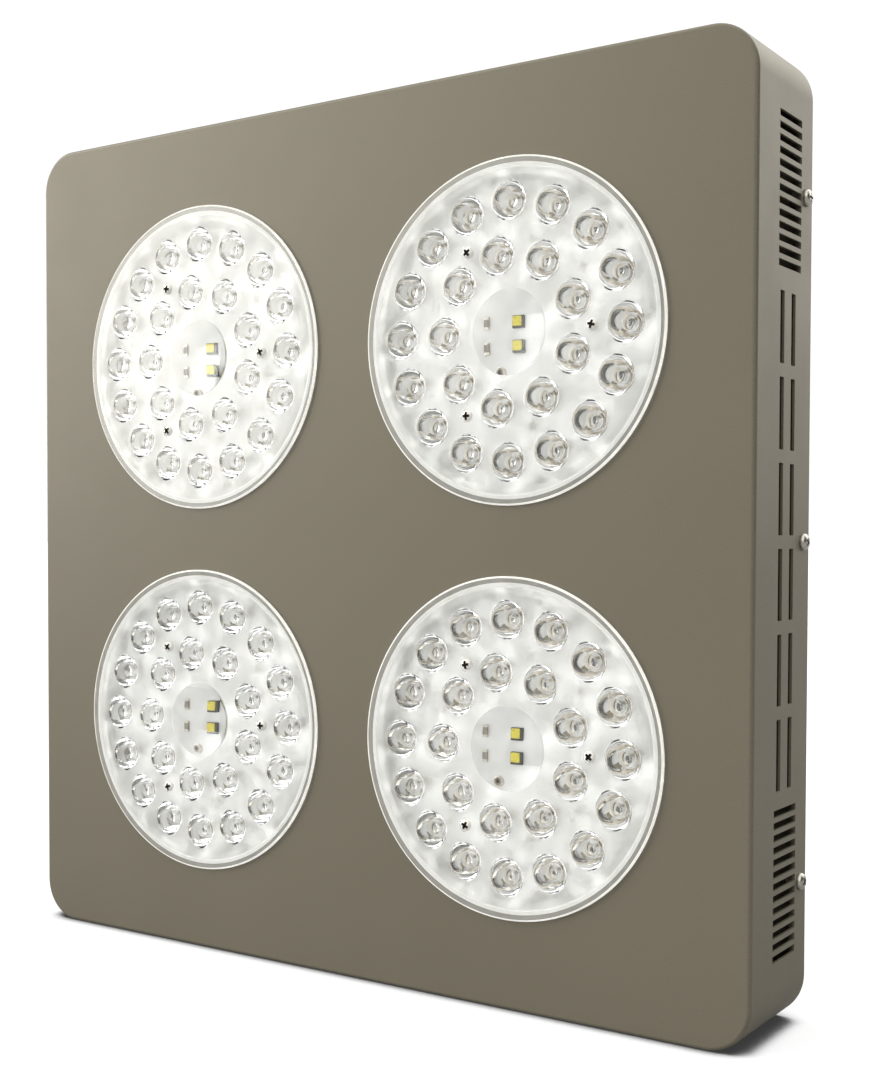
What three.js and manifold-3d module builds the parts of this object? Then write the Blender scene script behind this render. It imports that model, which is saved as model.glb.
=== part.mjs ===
// Square LED grow light: a folded sheet-metal case with four round lens modules
// in the front panel, each backed by a finned heat sink and a cooling fan.
// Millimetres. X runs across the front, Y into the case, Z up; the lamps face -Y.
// The pieces are laid out from the centre of the front panel's outer face. At the
// end all move so that the origin is at the centre of the lower wall's outer face.
import * as THREE from 'three';
import { mergeVertices } from 'three/addons/utils/BufferGeometryUtils.js';
import Module from 'manifold-3d';

const wasm = await Module();
wasm.setup();

// ---------------------------------------------------------------- shared dimensions
const CASE_W = 446;            // across X
const CASE_H = 451;            // along Z
const CASE_D = 66;             // front face to rear cover's outer face
const CORNER_R = 22;           // corner radius of the front outline
const CORNER_STEPS = 5;
const SHEET = 1.2;             // sheet thickness
const GAP = 0.3;               // assembly gap between neighbouring pieces
const OVERLAP = 0.3;           // depth to which joined solids run into each other
const OVERSHOOT = 1;           // distance a cutter runs past the face it opens
const COVER_FRONT = CASE_D - SHEET;
const WALL_TOP = CASE_H / 2;   // outer face of the top wall

const MODULE_X = 99;           // module centres
const MODULE_Z = 99.3;

const COVER_SCREW_Y = 58;
const COVER_SCREW_Z = [158, 0, -158];
const COVER_SCREW_HOLE_R = 2.4;

const HANGER_X = 178;
const HANGER_TOP_Z = 176;
const HANGER_LOW_Z = -164;
const RING_AXIS_Y = CASE_D + 2.5;

const INLET = { x: 128, y: 33, cutX: 45.6, cutY: 23.6 };
const SWITCH = { y: 33, cutX: 19.6, cutY: 13.6 };
const SWITCH_X = [60, 86];
const CUTOUT_CLEARANCE = 0.4;  // on each side of a body in the top wall

// ---------------------------------------------------------------- numbers and outlines
const rad = (degrees) => (degrees * Math.PI) / 180;

// Ranges are [low, high] pairs.
const span = (centre, width) => [centre - width / 2, centre + width / 2];

// The range from inner to outer distance, on the +X or -X side.
const onSide = (side, inner, outer) => (side > 0 ? [inner, outer] : [-outer, -inner]);

// Evenly spaced values centred on zero.
const centred = (count, pitch) =>
  Array.from({ length: count }, (_, i) => (i - (count - 1) / 2) * pitch);

const fourCorners = (a, b) => [[-a, -b], [-a, b], [a, -b], [a, b]];

function arc([a, b], radius, from, to, steps) {
  return Array.from({ length: steps + 1 }, (_, i) => {
    const angle = rad(from + ((to - from) * i) / steps);
    return [a + radius * Math.cos(angle), b + radius * Math.sin(angle)];
  });
}

const circle = (centre, radius, count, start = 0) =>
  arc(centre, radius, start, start + 360, count).slice(0, count);

function rounded([a, b], width, height, radius, steps) {
  const signs = [[1, 1], [-1, 1], [-1, -1], [1, -1]];
  return signs.flatMap(([signA, signB], i) => {
    const centre = [a + signA * (width / 2 - radius), b + signB * (height / 2 - radius)];
    return arc(centre, radius, 90 * i, 90 * (i + 1), steps);
  });
}

// ---------------------------------------------------------------- solids
function toManifold(geometry) {
  const bare = new THREE.BufferGeometry();
  bare.setAttribute('position', geometry.getAttribute('position'));
  bare.setIndex(geometry.index);
  const merged = mergeVertices(bare, 1e-4);
  const index = merged.index.array;
  const triangles = [];
  for (let i = 0; i < index.length; i += 3) {
    const [a, b, c] = index.subarray(i, i + 3);
    if (a !== b && b !== c && a !== c) triangles.push(a, b, c);
  }
  const solid = new wasm.Manifold(new wasm.Mesh({
    numProp: 3,
    vertProperties: merged.getAttribute('position').array,
    triVerts: new Uint32Array(triangles),
  }));
  if (solid.volume() < 0) throw new Error('inside-out body');
  return solid;
}

function toGeometry(solid) {
  const { vertProperties, triVerts } = solid.getMesh();
  const geometry = new THREE.BufferGeometry();
  const positions = new Float32Array(vertProperties);
  geometry.setAttribute('position', new THREE.BufferAttribute(positions, 3));
  geometry.setIndex(new THREE.BufferAttribute(new Uint32Array(triVerts), 1));
  geometry.computeVertexNormals();
  return geometry;
}

const union = (solids) => solids.reduce((a, b) => a.add(b));

function extrude(points, [low, high], holes = []) {
  const vectors = (outline) => outline.map(([a, b]) => new THREE.Vector2(a, b));
  const shape = new THREE.Shape(vectors(points));
  shape.holes = holes.map((hole) => new THREE.Path(vectors(hole)));
  const geometry = new THREE.ExtrudeGeometry(shape, { depth: high - low, bevelEnabled: false });
  return geometry.translate(0, 0, low);
}

// Prisms along X, Y and Z: their outlines are in (y, z), (x, z) and (x, y).
const Z_TO_X = new THREE.Matrix4().set(0, 0, 1, 0, 1, 0, 0, 0, 0, 1, 0, 0, 0, 0, 0, 1);
const prismX = (points, xs) => toManifold(extrude(points, xs).applyMatrix4(Z_TO_X));
const prismY = (points, [y0, y1], holes) =>
  toManifold(extrude(points, [-y1, -y0], holes).rotateX(Math.PI / 2));
const prismZ = (points, zs) => toManifold(extrude(points, zs));

const rodX = (centre, radius, sides, xs) => prismX(circle(centre, radius, sides), xs);
const rodY = (centre, radius, sides, ys) => prismY(circle(centre, radius, sides), ys);

function box([x0, x1], [y0, y1], [z0, z1]) {
  const geometry = new THREE.BoxGeometry(x1 - x0, y1 - y0, z1 - z0);
  return toManifold(geometry.translate((x0 + x1) / 2, (y0 + y1) / 2, (z0 + z1) / 2));
}

// A profile of [radius, y] points turned about the Y axis.
function lathe(profile, sides) {
  const points = profile.map(([radius, y]) => new THREE.Vector2(radius, y));
  return toManifold(new THREE.LatheGeometry(points, sides));
}

// A skin through loops of equal point count. The ends are capped by fans,
// or joined to each other if capped is false.
function loft(loops, capped = true) {
  const count = loops[0].length;
  const positions = loops.flat(2);
  const triangles = [];
  const bands = capped ? loops.length - 1 : loops.length;
  for (let k = 0; k < bands; k++) {
    const here = k * count;
    const next = ((k + 1) % loops.length) * count;
    for (let i = 0; i < count; i++) {
      const j = (i + 1) % count;
      triangles.push(here + i, next + i, next + j, here + i, next + j, here + j);
    }
  }
  if (capped) {
    const end = (loops.length - 1) * count;
    for (let i = 1; i < count - 1; i++) {
      triangles.push(0, i, i + 1, end, end + i + 1, end + i);
    }
  }
  const vertex = (i) => new THREE.Vector3().fromArray(positions, 3 * triangles[i]);
  let volume = 0;
  for (let i = 0; i < triangles.length; i += 3) {
    volume += vertex(i).dot(vertex(i + 1).cross(vertex(i + 2)));
  }
  // Reversing the list flips every triangle, which turns the skin outwards.
  if (volume < 0) triangles.reverse();
  const geometry = new THREE.BufferGeometry();
  geometry.setAttribute('position', new THREE.Float32BufferAttribute(positions, 3));
  geometry.setIndex(triangles);
  return toManifold(geometry);
}

// ---------------------------------------------------------------- materials
const standard = (settings) => new THREE.MeshStandardMaterial(settings);
const materials = {
  case: standard({ color: 0x7d7873, metalness: 0.3, roughness: 0.55 }),
  plate: standard({
    color: 0xe8ecee, metalness: 0, roughness: 0.05, transparent: true, opacity: 0.4,
  }),
  silicone: standard({ color: 0xe9e8e2, metalness: 0, roughness: 0.6 }),
  steel: standard({ color: 0xc4c6c8, metalness: 1, roughness: 0.3 }),
  board: standard({ color: 0xf2f2ee, metalness: 0, roughness: 0.5 }),
  aluminium: standard({ color: 0xb4b7ba, metalness: 1, roughness: 0.45 }),
  black: standard({ color: 0x161616, metalness: 0, roughness: 0.6 }),
  rotor: standard({ color: 0x202020, metalness: 0, roughness: 0.5 }),
  chrome: standard({ color: 0xd8dadc, metalness: 1, roughness: 0.15 }),
  red: standard({ color: 0xb01818, metalness: 0, roughness: 0.3 }),
};

// ---------------------------------------------------------------- front housing
const BEND_R = 2;              // outside bend radius at the front edge
const BEND_MID = 0.59;         // y and inset halfway round the outside bend
const INNER_BEND_MID = SHEET + 0.24;
const OPENING_R = 78.6;        // round opening for a lens module

const COMB_Y = [25.2, 52.2];   // narrow air slots near both ends of a side wall
const COMB_SLOT_W = 3.2;
const COMB_PITCH = 5.48;
const COMB_COUNT = 13;
const COMB_TOP_Z = [190, -122]; // topmost slot of each comb
const ROW_Y = [30, 43.5];      // two rows of upright slots between the combs
const ROW_SLOT_W = 5;
const ROW_SLOT_L = 32.4;
const ROW_PITCH = 38.4;
const ROW_COUNT = 6;

// The case outline, shrunk by an inset, at a given y.
function caseLoop(y, inset) {
  const width = CASE_W - 2 * inset;
  const height = CASE_H - 2 * inset;
  return rounded([0, 0], width, height, CORNER_R - inset, CORNER_STEPS)
    .map(([x, z]) => [x, y, z]);
}

function sideWallCuts(side) {
  const xs = onSide(side, CASE_W / 2 - SHEET - OVERSHOOT, CASE_W / 2 + OVERSHOOT);
  const cuts = [];
  for (const top of COMB_TOP_Z) {
    for (let i = 0; i < COMB_COUNT; i++) {
      cuts.push(box(xs, COMB_Y, span(top - i * COMB_PITCH, COMB_SLOT_W)));
    }
  }
  for (const y of ROW_Y) {
    for (const z of centred(ROW_COUNT, ROW_PITCH)) {
      cuts.push(box(xs, span(y, ROW_SLOT_W), span(z, ROW_SLOT_L)));
    }
  }
  for (const z of COVER_SCREW_Z) {
    cuts.push(rodX([COVER_SCREW_Y, z], COVER_SCREW_HOLE_R, 8, xs));
  }
  return cuts;
}

// Front panel and four walls, open at the rear.
function frontHousing() {
  const outer = loft([
    caseLoop(0, BEND_R),
    caseLoop(BEND_MID, BEND_MID),
    caseLoop(BEND_R, 0),
    caseLoop(CASE_D, 0),
  ]);
  const inner = loft([
    caseLoop(SHEET, BEND_R),
    caseLoop(INNER_BEND_MID, INNER_BEND_MID),
    caseLoop(BEND_R, SHEET),
    caseLoop(CASE_D + OVERSHOOT, SHEET),
  ]);
  const openings = fourCorners(MODULE_X, MODULE_Z).map((centre) =>
    rodY(centre, OPENING_R, 32, [-OVERSHOOT, SHEET + OVERSHOOT]));
  const topWallCut = (x, { y, cutX, cutY }) =>
    box(span(x, cutX), span(y, cutY), [WALL_TOP - SHEET - OVERSHOOT, WALL_TOP + OVERSHOOT]);
  return outer.subtract(inner).subtract(union([
    ...openings,
    ...sideWallCuts(-1),
    ...sideWallCuts(1),
    topWallCut(INLET.x, INLET),
    ...SWITCH_X.map((x) => topWallCut(x, SWITCH)),
  ]));
}

// ---------------------------------------------------------------- fan layout
const FAN = 92;                // fan frame side
const FAN_T = 25;
const FAN_FRONT = COVER_FRONT - GAP - FAN_T;
const FAN_BORE_R = 43.9;
const FAN_HOLE_SPACING = 82.5;
const FAN_HOLES = fourCorners(FAN_HOLE_SPACING / 2, FAN_HOLE_SPACING / 2);

// ---------------------------------------------------------------- rear cover
const FLANGE_FRONT = 53;
const FLANGE_L = 384;
const NUT_R = 4;
const NUT_H = 3;
const STRAP = { w: 12, innerR: 2.7, outerR: 4, footL: 5, footT: 1.2 };

// A bridge-shaped strap standing on the rear cover, with feet above and below.
function strap(x, z) {
  const { w, innerR, outerR, footL, footT } = STRAP;
  const axis = [RING_AXIS_Y, z];
  const foot = CASE_D - OVERLAP;
  const top = CASE_D + footT;
  const profile = [
    [foot, z + outerR + footL],
    [foot, z + innerR],
    ...arc(axis, innerR, 90, -90, 4),
    [foot, z - innerR],
    [foot, z - outerR - footL],
    [top, z - outerR - footL],
    [top, z - outerR],
    ...arc(axis, outerR, -90, 90, 4),
    [top, z + outerR],
    [top, z + outerR + footL],
  ];
  return prismX(profile, span(x, w));
}

// Flat plate with two side flanges carrying nuts, fan openings and strap loops.
function rearCover() {
  const inset = SHEET + GAP;
  const width = CASE_W - 2 * inset;
  const height = CASE_H - 2 * inset;
  const edge = width / 2;
  const nutFace = edge - SHEET - NUT_H;
  const outline = rounded([0, 0], width, height, CORNER_R - inset, CORNER_STEPS);
  const parts = [prismY(outline, [COVER_FRONT, CASE_D])];
  const cuts = [];
  for (const side of [-1, 1]) {
    const flangeX = onSide(side, edge - SHEET, edge);
    parts.push(box(flangeX, [FLANGE_FRONT, COVER_FRONT + OVERLAP], span(0, FLANGE_L)));
    const nutX = onSide(side, nutFace, edge - SHEET + OVERLAP);
    const holeX = onSide(side, nutFace - OVERSHOOT, edge + OVERSHOOT);
    for (const z of COVER_SCREW_Z) {
      parts.push(rodX([COVER_SCREW_Y, z], NUT_R, 6, nutX));
      cuts.push(rodX([COVER_SCREW_Y, z], COVER_SCREW_HOLE_R, 8, holeX));
    }
  }
  const through = [COVER_FRONT - OVERSHOOT, CASE_D + OVERSHOOT];
  for (const [x, z] of fourCorners(MODULE_X, MODULE_Z)) {
    cuts.push(rodY([x, z], FAN_BORE_R - 0.4, 24, through));
    for (const [dx, dz] of FAN_HOLES) cuts.push(rodY([x + dx, z + dz], 2.3, 6, through));
  }
  const straps = [-HANGER_X, HANGER_X].flatMap((x) =>
    [HANGER_TOP_Z, HANGER_LOW_Z].map((z) => strap(x, z)));
  return union([union(parts).subtract(union(cuts)), ...straps]);
}

// ---------------------------------------------------------------- hanger ring
const RING_WIRE_R = 1.8;
const RING_W = 26;             // centreline width
const RING_H = 24;             // centreline reach
const RING_CORNER = 5;
const RING_SIDES = 6;

// Round wire bent to a D that hangs from its straight leg, which runs through
// the strap.
function hangerRing(x, z) {
  const half = RING_W / 2;
  const corner = half - RING_CORNER;
  const path = [
    ...arc([corner, -RING_CORNER], RING_CORNER, 90, 0, 1),
    ...arc([0, half - RING_H], half, 0, -180, 6),
    ...arc([-corner, -RING_CORNER], RING_CORNER, 180, 90, 1),
  ].map(([a, b]) => new THREE.Vector2(a, b));
  const loops = path.map((point, i) => {
    const before = path.at(i - 1);
    const after = path[(i + 1) % path.length];
    const arriving = point.clone().sub(before).normalize();
    const leaving = after.clone().sub(point).normalize();
    const tangent = arriving.clone().add(leaving).normalize();
    // The section is stretched at each bend so that the wire keeps its thickness.
    const stretch = 1 / tangent.dot(arriving);
    return circle([0, 0], RING_WIRE_R, RING_SIDES, 180 / RING_SIDES).map(([u, v]) => [
      x + point.x - tangent.y * u * stretch,
      RING_AXIS_Y + v,
      z + point.y + tangent.x * u * stretch,
    ]);
  });
  return loft(loops, false);
}

// ---------------------------------------------------------------- screws
// Cross-recessed pan-head screw about the Y axis, head towards -Y, head's
// underside at y = seat.
function screw({ headR, headH, shankR, length, seat, sides, slotW }) {
  const top = seat - headH;
  const solid = lathe([
    [0, top], [headR * 0.78, top], [headR, seat - headH * 0.4], [headR, seat],
    [shankR, seat], [shankR, seat + length], [0, seat + length],
  ], sides);
  const long = span(0, 2 * headR * 0.58);
  const narrow = span(0, slotW);
  const depth = [top - OVERSHOOT, top + headH * 0.6];
  return solid.subtract(box(long, depth, narrow).add(box(narrow, depth, long)));
}

// ---------------------------------------------------------------- module layout
// [x, z] places from the module centre; each small lens has an emitter behind it.
const LENS_PLACES = [...circle([0, 0], 61.8, 16), ...circle([0, 0], 36.7, 9, 20)];
const SCREW_PLACES = circle([0, 0], 45.2, 3);

// ---------------------------------------------------------------- lens plate
const RIM_R = 82.5;
const RIM_FRONT = -1.8;
const PLATE_R = 77.6;          // part of the plate that fills the opening
const PLATE_BACK = 0.7;
const LENS_ROOT = PLATE_BACK - OVERLAP;
const SMALL_LENS_R = 9.2;
const SMALL_LENS_TIP_R = 5;
const SMALL_LENS_END = 9.1;
const CENTRE_LENS_R = 20.5;

// One clear moulding with a rim and all its lenses.
function lensPlate() {
  const disc = lathe([
    [0, RIM_FRONT], [RIM_R, RIM_FRONT], [RIM_R, -GAP],
    [PLATE_R, -GAP], [PLATE_R, PLATE_BACK], [0, PLATE_BACK],
  ], 32);
  const smallLens = lathe([
    [0, LENS_ROOT], [SMALL_LENS_R, LENS_ROOT],
    [SMALL_LENS_TIP_R, SMALL_LENS_END], [0, SMALL_LENS_END],
  ], 6);
  // The centre lens is a shallow dome on the inside of the plate.
  const centreLens = lathe([
    [0, LENS_ROOT], [CENTRE_LENS_R, LENS_ROOT], [CENTRE_LENS_R - 5, 1.3], [0, 2],
  ], 12);
  const smallLenses = LENS_PLACES.map(([x, z]) => smallLens.translate(x, 0, z));
  const screwHoles = SCREW_PLACES.flatMap((place) => [
    rodY(place, 1.9, 8, [RIM_FRONT - OVERSHOOT, PLATE_BACK + OVERSHOOT]),
    rodY(place, 3.5, 8, [RIM_FRONT - OVERSHOOT, RIM_FRONT + 0.8]),
  ]);
  return disc.add(union([...smallLenses, centreLens])).subtract(union(screwHoles));
}

// ---------------------------------------------------------------- LED board
const BOARD_R = 79.9;
const BOARD_FRONT = 10.7;
const BOARD_T = 1.6;
const BOARD_BACK = BOARD_FRONT + BOARD_T;
const SLEEVE_FRONT = PLATE_BACK + GAP;
const EMITTER = { w: 6.4, t: 1.3 };
// x, z, width, height, thickness of the square parts behind the centre lens
const CENTRE_PARTS = [
  [-0.3, 5.5, 5.7, 5.7, 1.6], [-0.3, -5.5, 5.7, 5.7, 1.6],
  [-17, 5.8, 2.7, 5.7, 1.2], [-17, -5.6, 2.7, 5.7, 1.2],
];
const ROUND_PART = { place: [-9.8, -16.8], radius: 2.5, t: 1.6 };

// Disc with emitters, centre parts and screw sleeves on its front.
function ledBoard() {
  const raised = (thickness) => [BOARD_FRONT - thickness, BOARD_FRONT + OVERLAP];
  const chip = ([x, z, w, h, t]) => box(span(x, w), raised(t), span(z, h));
  const solid = union([
    rodY([0, 0], BOARD_R, 24, [BOARD_FRONT, BOARD_BACK]),
    ...LENS_PLACES.map(([x, z]) => chip([x, z, EMITTER.w, EMITTER.w, EMITTER.t])),
    ...CENTRE_PARTS.map(chip),
    rodY(ROUND_PART.place, ROUND_PART.radius, 6, raised(ROUND_PART.t)),
    ...SCREW_PLACES.map((place) => rodY(place, 3.2, 6, [SLEEVE_FRONT, BOARD_FRONT + OVERLAP])),
  ]);
  const holeY = [SLEEVE_FRONT - OVERSHOOT, BOARD_BACK + OVERSHOOT];
  return solid.subtract(union(SCREW_PLACES.map((place) => rodY(place, 1.9, 6, holeY))));
}

// ---------------------------------------------------------------- lens gasket
const GASKET_INNER_R = 73.8;
const GASKET_OUTER_R = 77.4;

// White silicone ring between the lens plate and the board.
function lensGasket() {
  const front = PLATE_BACK + GAP;
  const back = BOARD_FRONT - GAP;
  return lathe([
    [GASKET_INNER_R, front], [GASKET_OUTER_R, front],
    [GASKET_OUTER_R, back], [GASKET_INNER_R, back], [GASKET_INNER_R, front],
  ], 24);
}

// ---------------------------------------------------------------- heat sink
const SINK_R = 85;
const SINK_CUP_R = 80.5;
const SINK_FRONT = SHEET + GAP;
const SINK_FLOOR = BOARD_BACK + GAP;
const SINK_BASE_BACK = SINK_FLOOR + 4;
const SINK_END = 39;
const FIN_T = 2.2;
const FIN_PITCH = 12;
const FIN_COUNT = 13;
const FIN_CIRCLE_R = SINK_R - 1.5; // the fins' ends stay inside this circle

// Cup that holds the board, with a flat base and straight fins behind it.
function heatSink() {
  const cup = lathe([
    [0, SINK_FLOOR], [SINK_CUP_R, SINK_FLOOR], [SINK_CUP_R, SINK_FRONT],
    [SINK_R, SINK_FRONT], [SINK_R, SINK_BASE_BACK], [0, SINK_BASE_BACK],
  ], 24);
  const fins = centred(FIN_COUNT, FIN_PITCH).map((z) => {
    const reach = Math.sqrt(FIN_CIRCLE_R ** 2 - (Math.abs(z) + FIN_T / 2) ** 2);
    return box([-reach, reach], [SINK_BASE_BACK - OVERLAP, SINK_END], span(z, FIN_T));
  });
  const holeY = [SINK_FLOOR - OVERSHOOT, SINK_BASE_BACK - 0.8];
  const holes = SCREW_PLACES.map((place) => rodY(place, 1.7, 6, holeY));
  return cup.add(union(fins)).subtract(union(holes));
}

// ---------------------------------------------------------------- fan
const MOTOR_PLATE_T = 2.4;
const HUB_R = 19;
const HUB_FRONT = FAN_FRONT + 3.4;
const HUB_BACK = FAN_FRONT + 22.4;
const HUB_WALL = 1.6;
const SHAFT_R = 1.4;
const SHAFT_FRONT = FAN_FRONT + 3.6;
const BLADES = 7;
const BLADE_Y = (HUB_FRONT + HUB_BACK) / 2 - 0.6;
const BLADE_CAMBER = 1.6;
const BLADE_HALF_T = 0.9;
// radius, chord, pitch and lean in degrees of each blade section
const BLADE_SECTIONS = [
  [HUB_R - 1.2, 16, 38, 0],
  [30, 22, 30, 9],
  [42.2, 26, 24, 20],
];

// Square block with a round bore, motor plate, four struts and bearing tube.
function fanFrame() {
  const plateBack = FAN_FRONT + MOTOR_PLATE_T;
  const plateY = [FAN_FRONT, plateBack];
  const holes = [
    circle([0, 0], FAN_BORE_R, 24),
    ...FAN_HOLES.map((place) => circle(place, 2.2, 6)),
  ];
  const block = prismY(
    rounded([0, 0], FAN, FAN, 5, 1),
    [FAN_FRONT, FAN_FRONT + FAN_T],
    holes,
  );
  const strut = box([17, 45], plateY, span(0, 4));
  const tubeFront = plateBack - OVERLAP;
  const tubeBack = FAN_FRONT + 15;
  return union([
    block,
    rodY([0, 0], 18.5, 12, plateY),
    ...[20, 110, 200, 290].map((angle) => strut.rotate([0, angle, 0])),
    lathe([
      [1.6, tubeFront], [4.5, tubeFront], [4.5, tubeBack], [1.6, tubeBack], [1.6, tubeFront],
    ], 8),
  ]);
}

function bladeSection([radius, chord, pitch, lean]) {
  const cos = Math.cos(rad(pitch));
  const sin = Math.sin(rad(pitch));
  const outline = [
    [-chord / 2, 0],
    [0, BLADE_CAMBER + BLADE_HALF_T],
    [chord / 2, 0],
    [0, BLADE_CAMBER - BLADE_HALF_T],
  ];
  return outline.map(([along, across]) => {
    const around = rad(lean) + (along * cos - across * sin) / radius;
    const axial = along * sin + across * cos;
    return [radius * Math.cos(around), BLADE_Y + axial, radius * Math.sin(around)];
  });
}

// Hub cup, open to the front, with its shaft and twisted blades.
function fanRotor() {
  const floor = HUB_BACK - HUB_WALL;
  const hub = lathe([
    [0, SHAFT_FRONT], [SHAFT_R, SHAFT_FRONT], [SHAFT_R, floor],
    [HUB_R - HUB_WALL, floor], [HUB_R - HUB_WALL, HUB_FRONT],
    [HUB_R, HUB_FRONT], [HUB_R, HUB_BACK], [0, HUB_BACK],
  ], 14);
  const blade = loft(BLADE_SECTIONS.map(bladeSection));
  const blades = Array.from({ length: BLADES }, (_, i) =>
    blade.rotate([0, (i * 360) / BLADES, 0]));
  return union([hub, ...blades]);
}

// ---------------------------------------------------------------- fan guard
const GUARD_FRONT = CASE_D + GAP;
const GUARD_T = 1.6;
const GUARD_BAR_W = 1.8;
const GUARD_RINGS = [[13, 8], [29, 12], [45, 16]]; // centreline radius, sides

// Concentric rings joined by two crossed bars with open middles, and four eyes.
function fanGuard() {
  const ys = [GUARD_FRONT, GUARD_FRONT + GUARD_T];
  const cutY = [ys[0] - OVERSHOOT, ys[1] + OVERSHOOT];
  const rings = GUARD_RINGS.map(([radius, sides]) => {
    const [inner, outer] = span(radius, GUARD_BAR_W);
    return prismY(circle([0, 0], outer, sides), ys, [circle([0, 0], inner, sides)]);
  });
  const bar = box([-58.2, 58.2], ys, span(0, GUARD_BAR_W))
    .subtract(box([-11.8, 11.8], cutY, span(0, GUARD_BAR_W + 2 * OVERSHOOT)));
  let guard = union([...rings, bar.rotate([0, 45, 0]), bar.rotate([0, 135, 0])]);
  for (const place of FAN_HOLES) {
    guard = guard.add(rodY(place, 4.4, 6, ys)).subtract(rodY(place, 2.3, 6, cutY));
  }
  return guard;
}

// ---------------------------------------------------------------- LED driver
const DRIVER = { l: 112, h: 38, t: 27 };
const GROOVE = { count: 7, pitch: 4.8, w: 2.4, depth: 4 };
const EAR = { l: 9, w: 18, t: 2, holeR: 2.2, holeInset: 4.5 };

// Box grooved along X on its rear or front face, with an ear at each end that
// is flush with the opposite face.
function ledDriver(front, groovedBehind) {
  const back = front + DRIVER.t;
  const end = DRIVER.l / 2;
  const grooveY = groovedBehind
    ? [back - GROOVE.depth, back + OVERSHOOT]
    : [front - OVERSHOOT, front + GROOVE.depth];
  const earY = groovedBehind ? [front, front + EAR.t] : [back - EAR.t, back];
  const holeY = [earY[0] - OVERSHOOT, earY[1] + OVERSHOOT];
  const grooves = centred(GROOVE.count, GROOVE.pitch).map((z) =>
    box(span(0, DRIVER.l + 2 * OVERSHOOT), grooveY, span(z, GROOVE.w)));
  const ears = [-1, 1].map((side) =>
    box(onSide(side, end - OVERLAP, end + EAR.l), earY, span(0, EAR.w))
      .subtract(rodY([side * (end + EAR.holeInset), 0], EAR.holeR, 8, holeY)));
  const block = box(span(0, DRIVER.l), [front, back], span(0, DRIVER.h));
  return union([block.subtract(union(grooves)), ...ears]);
}

// ---------------------------------------------------------------- power inlet
const FLANGE_BASE = WALL_TOP + GAP; // underside of the inlet and switch flanges
const INLET_TOP = FLANGE_BASE + 2.4;
const SOCKET_X = INLET.x + 7.2;
const SOCKET_DEPTH = 17;
// x, y from the socket centre
const SOCKET_OUTLINE = [
  [-12.2, -8.2], [12.2, -8.2], [12.2, 3.6], [7.6, 8.2], [-7.6, 8.2], [-12.2, 3.6],
];
const PIN_PLACES = [[0, 3.4], [-7, -1.6], [7, -1.6]];
const DRAWER_X = [INLET.x - 20, INLET.x - 10.2];
const DRAWER_W = 18;

// The part of an inlet or switch that fits through its cut-out in the top wall.
const bodyInWall = (x, { y, cutX, cutY }, depth) => box(
  span(x, cutX - 2 * CUTOUT_CLEARANCE),
  span(y, cutY - 2 * CUTOUT_CLEARANCE),
  [WALL_TOP - depth, FLANGE_BASE + OVERLAP],
);

// Flange and body with a three-pin socket and a bay for the fuse drawer.
function powerInlet() {
  const { x, y } = INLET;
  const opening = INLET_TOP + OVERSHOOT;
  const floor = INLET_TOP - SOCKET_DEPTH;
  const mouth = SOCKET_OUTLINE.map(([dx, dy]) => [SOCKET_X + dx, y + dy]);
  const bayX = [DRAWER_X[0] - GAP, DRAWER_X[1] + GAP];
  const shell = prismZ(rounded([x, y], 50, 28, 3, 2), [FLANGE_BASE, INLET_TOP])
    .add(bodyInWall(x, INLET, 22))
    .subtract(prismZ(mouth, [floor, opening]))
    .subtract(box(bayX, span(y, DRAWER_W + 2 * GAP), [INLET_TOP - 16, opening]));
  const pins = PIN_PLACES.map(([dx, dy]) =>
    box(span(SOCKET_X + dx, 2), span(y + dy, 4), [floor - OVERLAP, INLET_TOP - 5]));
  return union([shell, ...pins]);
}

// Block with a notch in its top at the -X edge and a pocket in its +X face.
function fuseDrawer() {
  const { x, y } = INLET;
  const top = INLET_TOP + 0.8;
  const notch = box([x - 21, x - 18.2], span(y, 7), [INLET_TOP - 1.2, top + OVERSHOOT]);
  const pocket = box([x - 15.2, x - 9], span(y, 14), [INLET_TOP - 14, INLET_TOP - 9]);
  return box(DRAWER_X, span(y, DRAWER_W), [INLET_TOP - 15.5, top])
    .subtract(notch)
    .subtract(pocket);
}

// ---------------------------------------------------------------- rocker switch
const SWITCH_TOP = FLANGE_BASE + 2;
const SWITCH_DEPTH = 13;
const PIVOT_Z = WALL_TOP - 1;
const ROCKER_TILT = 9;         // degrees
// x, z from the pivot
const ROCKER_OUTLINE = [
  [-7.6, 5.4], [0, 3.9], [7.6, 5.4], [7.3, 1], [4.2, -4], [-4.2, -4], [-7.3, 1],
];

// Flanged body with a well, a pivot hole across it and three terminals below.
function switchBody(x) {
  const { y } = SWITCH;
  const well = box(span(x, 17), span(y, 10.4), [WALL_TOP - 10.5, SWITCH_TOP + OVERSHOOT]);
  const shell = prismZ(rounded([x, y], 22, 16.4, 1.2, 1), [FLANGE_BASE, SWITCH_TOP])
    .add(bodyInWall(x, SWITCH, SWITCH_DEPTH))
    .subtract(well)
    .subtract(rodY([x, PIVOT_Z], 1.45, 8, span(y, 12)));
  const terminalZ = [WALL_TOP - 19, WALL_TOP - SWITCH_DEPTH + OVERLAP];
  const terminals = centred(3, 5.5).map((dx) =>
    box(span(x + dx, 0.8), span(y, 4.8), terminalZ));
  return union([shell, ...terminals]);
}

// Rocker with a cross pin standing out at both sides.
function rocker(x) {
  return prismY(ROCKER_OUTLINE, span(0, 9.8))
    .add(rodY([0, 0], 1.15, 8, span(0, 11.6)))
    .rotate([0, ROCKER_TILT, 0])
    .translate(x, SWITCH.y, PIVOT_Z);
}

// ---------------------------------------------------------------- assembly
const assembly = new THREE.Group();
assembly.name = 'led_grow_light';

function place(name, solid, material) {
  const mesh = new THREE.Mesh(toGeometry(solid), materials[material]);
  mesh.name = name;
  assembly.add(mesh);
}

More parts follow.
